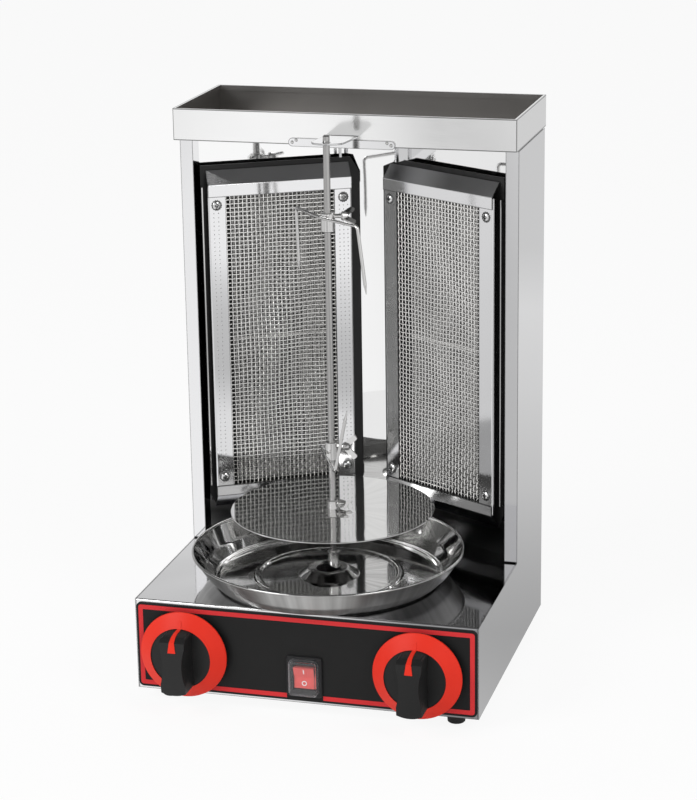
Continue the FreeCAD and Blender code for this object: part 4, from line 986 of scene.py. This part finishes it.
def on_rocker(points, middle):
    """Marks drawn in (x, height, outwards), placed on the rocker.

    The mark's finger face has its middle at a height above the pivot, or below it.
    """
    lean = ROCKER_TILT + math.copysign(math.atan2(FINGER_FALL, FINGER_HEIGHT), middle)
    face_y = FINGER_FRONT - FINGER_FALL * (abs(middle) - FINGER_START) / FINGER_HEIGHT
    y = face_y * math.cos(ROCKER_TILT) - middle * math.sin(ROCKER_TILT)
    z = face_y * math.sin(ROCKER_TILT) + middle * math.cos(ROCKER_TILT)
    up, out = points[..., 1], points[..., 2]
    return to_row(np.stack(
        [points[..., 0], ROCKER_PIVOT_Y + y - up * math.sin(lean) - out * math.cos(lean),
         ROCKER_Z + z + up * math.cos(lean) - out * math.sin(lean)], axis=-1))


def make_marks(segments=40):
    """The stroke and the ring of a power switch, printed on the rocker."""
    wide, tall = STROKE_HALF
    stroke, stroke_faces = box_surface((-wide, -tall, MARK_SUNK), (wide, tall, MARK_PROUD))
    ring = turned(RING_RADII, (MARK_SUNK, MARK_SUNK, MARK_PROUD, MARK_PROUD), segments)
    ring_faces = grid_faces(4, segments, True, True)
    surfaces = [(on_rocker(stroke, STROKE_MIDDLE), stroke_faces),
                (on_rocker(ring, RING_MIDDLE), ring_faces)]
    add_piece("rocker_marks", surfaces, "rocker", "switch_red", finish=MARK_WHITE)


INLET_PLACE = (60.0, 286.0, 40.0)
INLET_BORE = 4.0
INLET_SHANK = 6.5
INLET_END = 23.0
THREAD_PITCH = 1.8
THREAD_OUTER = 10.45
THREAD_ROOT = 9.4
NUT_CORNER = 15.5
NUT_THICK = 5.0
END_TAPER = 0.4
SHANK_END = -2.0
BORE_FLOOR = 2.0


def make_inlet(segments=96):
    """Hose nipple: a six-sided nut, a thread, and its bore.

    The thread's radius is root + d tri(h / pitch - a / 2 pi), and it tapers off at its end.
    """
    angle = circle(segments)
    hexagon = NUT_CORNER * math.cos(np.pi / 6) / np.cos(np.mod(angle, np.pi / 3) - np.pi / 6)
    height = np.arange(NUT_THICK, INLET_END + 0.01, THREAD_PITCH / 8)
    turns = (height[:, None] - NUT_THICK) / THREAD_PITCH - angle / (2 * np.pi)
    ridge = 1 - np.abs(2 * np.mod(turns, 1.0) - 1)
    thread = THREAD_ROOT + (THREAD_OUTER - THREAD_ROOT) * ridge
    thread = np.minimum(thread, THREAD_ROOT - END_TAPER + (INLET_END - height)[:, None])
    flat = np.ones(segments)
    radii = np.concatenate([[0 * flat, INLET_SHANK * flat, INLET_SHANK * flat, hexagon, hexagon],
                            thread, [INLET_BORE * flat, INLET_BORE * flat, 0 * flat]])
    heights = np.concatenate([[SHANK_END, SHANK_END, 0.0, 0.0, NUT_THICK], height,
                              [INLET_END, BORE_FLOOR, BORE_FLOOR]])
    points = turned(radii, heights, segments)
    x, y, z = INLET_PLACE
    placed = np.stack([x + points[..., 0], y + points[..., 2], z - points[..., 1]], axis=-1)
    surface = (to_row(placed), grid_faces(len(radii), segments, closed_columns=True))
    add_piece("threaded_inlet", [surface], "cabinet", NODE_SLOT["gas_inlet"], ["gas_inlet"])


ROUND_NODES = (
    "spit_rod", "drive_socket", "disc_hub", "disc_screw", "lower_fork_collar",
    "lower_fork_wire", "lower_fork_screw", "upper_fork_collar", "upper_fork_wire",
    "upper_fork_screw", "knob_ring_left", "knob_ring_right", "knob_grip_left",
    "knob_grip_right", "knob_pointer_left", "knob_pointer_right", "bracket_rivets",
    "spit_bracket", "switch_cover", "burner_frame_left", "burner_frame_right", "feet",
    "foot_screws", "cable_grommet")

make_pan()
make_disc()
for burner_side, side_name in ((-1, "left"), (1, "right")):
    woven_mesh(burner_side, side_name)
    shield_edge(burner_side, side_name)
    plaque_joint(burner_side, side_name)
weld_dimples(-1, "left")
at_screws("crossed_screws", screw_surface(), SCREW_FINISH, ["burner_screws"])
at_screws("toothed_washers", washer_surface(), WASHER_FINISH)
make_marks()
make_inlet()
for round_node in ROUND_NODES:
    smooth_copy(round_node)


# Studio

CAMERA_PLACE = row(586.1, -1937.2, 890.2)
CAMERA_YAW = math.radians(15.48)
CAMERA_PITCH = math.radians(16.93)
CAMERA_ROLL = math.radians(-0.86)
FOCAL_PIXELS = 2430.0
IMAGE_WIDTH = 697.0
IMAGE_HEIGHT = 800.0
CENTRE_X = 354.2
CENTRE_Y = 411.7
SENSOR = 36.0


def aim_camera():
    """A camera looking along yaw and pitch, then rolled about its own line of sight."""
    ahead = Vector((-math.sin(CAMERA_YAW) * math.cos(CAMERA_PITCH),
                    math.cos(CAMERA_YAW) * math.cos(CAMERA_PITCH), -math.sin(CAMERA_PITCH)))
    level = Vector((math.cos(CAMERA_YAW), math.sin(CAMERA_YAW), 0))
    upward = level.cross(ahead)
    side = math.cos(CAMERA_ROLL) * level + math.sin(CAMERA_ROLL) * upward
    top = math.cos(CAMERA_ROLL) * upward - math.sin(CAMERA_ROLL) * level
    data = bpy.data.cameras.new("camera")
    data.sensor_width = SENSOR
    data.lens = FOCAL_PIXELS * SENSOR / IMAGE_HEIGHT
    data.shift_x = (IMAGE_WIDTH / 2 - CENTRE_X) / IMAGE_HEIGHT
    data.shift_y = (CENTRE_Y - IMAGE_HEIGHT / 2) / IMAGE_HEIGHT
    data.clip_start = 0.01
    data.clip_end = 100
    camera = add_object("camera", data)
    turn = Matrix((side, top, -ahead)).transposed()
    camera.matrix_world = Matrix.Translation(CAMERA_PLACE) @ turn.to_4x4()
    bpy.context.scene.camera = camera


def ramp_of(tree, value, stops):
    """A grey ramp through (value, brightness) stops in rising order."""
    low, high = stops[0][0], stops[-1][0]
    ramp = tree.nodes.new("ShaderNodeValToRGB")
    tree.links.new(ranged(tree, value, 0.0, 1.0, low, high), ramp.inputs[0])
    elements = ramp.color_ramp.elements
    elements.remove(elements[0])
    for index, (place, brightness) in enumerate(stops):
        position = (place - low) / (high - low)
        stop = elements.new(position) if index else elements[0]
        stop.position = position
        stop.color = (*grey(brightness), 1)
    return ramp.outputs[0]


# Brightness that mirrors see: on the floor in front along x - slant * y, behind by distance,
# and in the sky by height, all in metres or as the upward part of the direction
FIELD_SLANT = 0.277
FRONT_FIELDS = [(-1.6, 0.82), (-0.6, 0.7), (-0.3, 0.95), (-0.12, 1.0), (-0.03, 0.93),
                (0.06, 0.88), (0.13, 0.86), (0.155, 0.52), (0.25, 0.58), (0.5, 0.85),
                (0.68, 0.55), (0.95, 0.6), (1.3, 0.98)]
REAR_FIELDS = [(0.0, 0.3), (0.3, 0.44), (0.6, 0.58), (1.0, 0.69), (1.4, 0.75), (1.8, 0.64)]
SKY_LIGHT = [(0.0, 0.95), (0.3, 0.7), (1.0, 0.25)]
SKY_FRONT = [(0.0, 1.0), (0.36, 0.95), (0.42, 0.5), (0.5, 0.25), (0.65, 0.18), (1.0, 0.18)]
SKY_REAR = [(0.0, 0.82), (0.32, 0.78), (0.36, 0.63), (0.45, 0.3), (0.6, 0.15), (1.0, 0.18)]
SKY_LEFT = 0.45
FLOOR_WHITE = 0.9
FLOOR_REACH = 30


def floor_material():
    """White floor that keeps its soft shadow.

    In mirrors it has lighter and darker fields, as a studio has.
    """
    material, tree, shader = new_material("studio_floor")
    feed(tree, shader.inputs["Base Color"], grey(0.95))
    shader.inputs["Roughness"].default_value = 0.9
    shader.inputs["Specular IOR Level"].default_value = 0.0
    seen = tree.nodes.new("ShaderNodeLightPath")
    direct = math_node(tree, "MAXIMUM", seen.outputs["Is Camera Ray"],
                       seen.outputs["Is Transmission Ray"])
    white = tree.nodes.new("ShaderNodeEmission")
    shown = shader_mix(tree, math_node(tree, "MULTIPLY", direct, FLOOR_WHITE),
                       shader.outputs[0], white.outputs[0])
    x, y, _ = axes_of(tree, coordinates(tree))
    sideways = math_node(tree, "SUBTRACT", x, math_node(tree, "MULTIPLY", y, FIELD_SLANT))
    field = mixed_colour(tree, ranged(tree, y, 0.0, 1.0, -0.2, 0.1),
                         ramp_of(tree, sideways, FRONT_FIELDS),
                         ramp_of(tree, distance(tree, x, y), REAR_FIELDS))
    mirrored = tree.nodes.new("ShaderNodeEmission")
    tree.links.new(field, mirrored.inputs["Color"])
    tree.links.new(shader_mix(tree, seen.outputs["Is Glossy Ray"], shown, mirrored.outputs[0]),
                   tree.nodes["Material Output"].inputs["Surface"])
    return material


def make_floor():
    """A wide square of floor on the table plane."""
    mesh = bpy.data.meshes.new("floor")
    corners = [(x * FLOOR_REACH, y * FLOOR_REACH, 0)
               for x, y in ((-1, -1), (1, -1), (1, 1), (-1, 1))]
    mesh.from_pydata(corners, [], [(0, 1, 2, 3)])
    mesh.materials.append(floor_material())
    return add_object("floor", mesh)


def light_world():
    """White to the camera; as light, bright at the horizon.

    In mirrors it is dark overhead, and dimmer behind and far to the left.
    """
    world = bpy.data.worlds.new("studio")
    bpy.context.scene.world = world
    world.use_nodes = True
    tree = world.node_tree
    x, y, z = axes_of(tree, coordinates(tree, "Generated"))
    light = tree.nodes["Background"]
    tree.links.new(ramp_of(tree, z, SKY_LIGHT), light.inputs["Color"])
    mirrored = tree.nodes.new("ShaderNodeBackground")
    sky = mixed_colour(tree, ranged(tree, y, 0.0, 1.0, -0.3, 0.3), ramp_of(tree, z, SKY_FRONT),
                       ramp_of(tree, z, SKY_REAR))
    tree.links.new(sky, mirrored.inputs["Color"])
    tree.links.new(ranged(tree, x, SKY_LEFT, 1.0, -0.9, -0.45), mirrored.inputs["Strength"])
    white = tree.nodes.new("ShaderNodeBackground")
    seen = tree.nodes.new("ShaderNodeLightPath")
    unseen = shader_mix(tree, seen.outputs["Is Glossy Ray"], light.outputs[0],
                        mirrored.outputs[0])
    tree.links.new(shader_mix(tree, seen.outputs["Is Camera Ray"], unseen, white.outputs[0]),
                   tree.nodes["World Output"].inputs["Surface"])


def area_light(name, place, size, watts, target=(0, 0, 0.25)):
    """A square lamp turned towards the middle of the grill."""
    data = bpy.data.lights.new(name, "AREA")
    data.shape = "RECTANGLE"
    data.size = size
    data.size_y = size
    data.energy = watts
    lamp = add_object(name, data)
    lamp.location = place
    lamp.rotation_euler = (Vector(target) - Vector(place)).to_track_quat("-Z", "Y").to_euler()


aim_camera()
floor = make_floor()
light_world()
area_light("key", (-1.6, -1.9, 1.9), size=1.4, watts=38.0)
area_light("fill", (1.9, -1.2, 2.1), size=1.2, watts=20.0)
bpy.context.scene.view_settings.view_transform = "Standard"
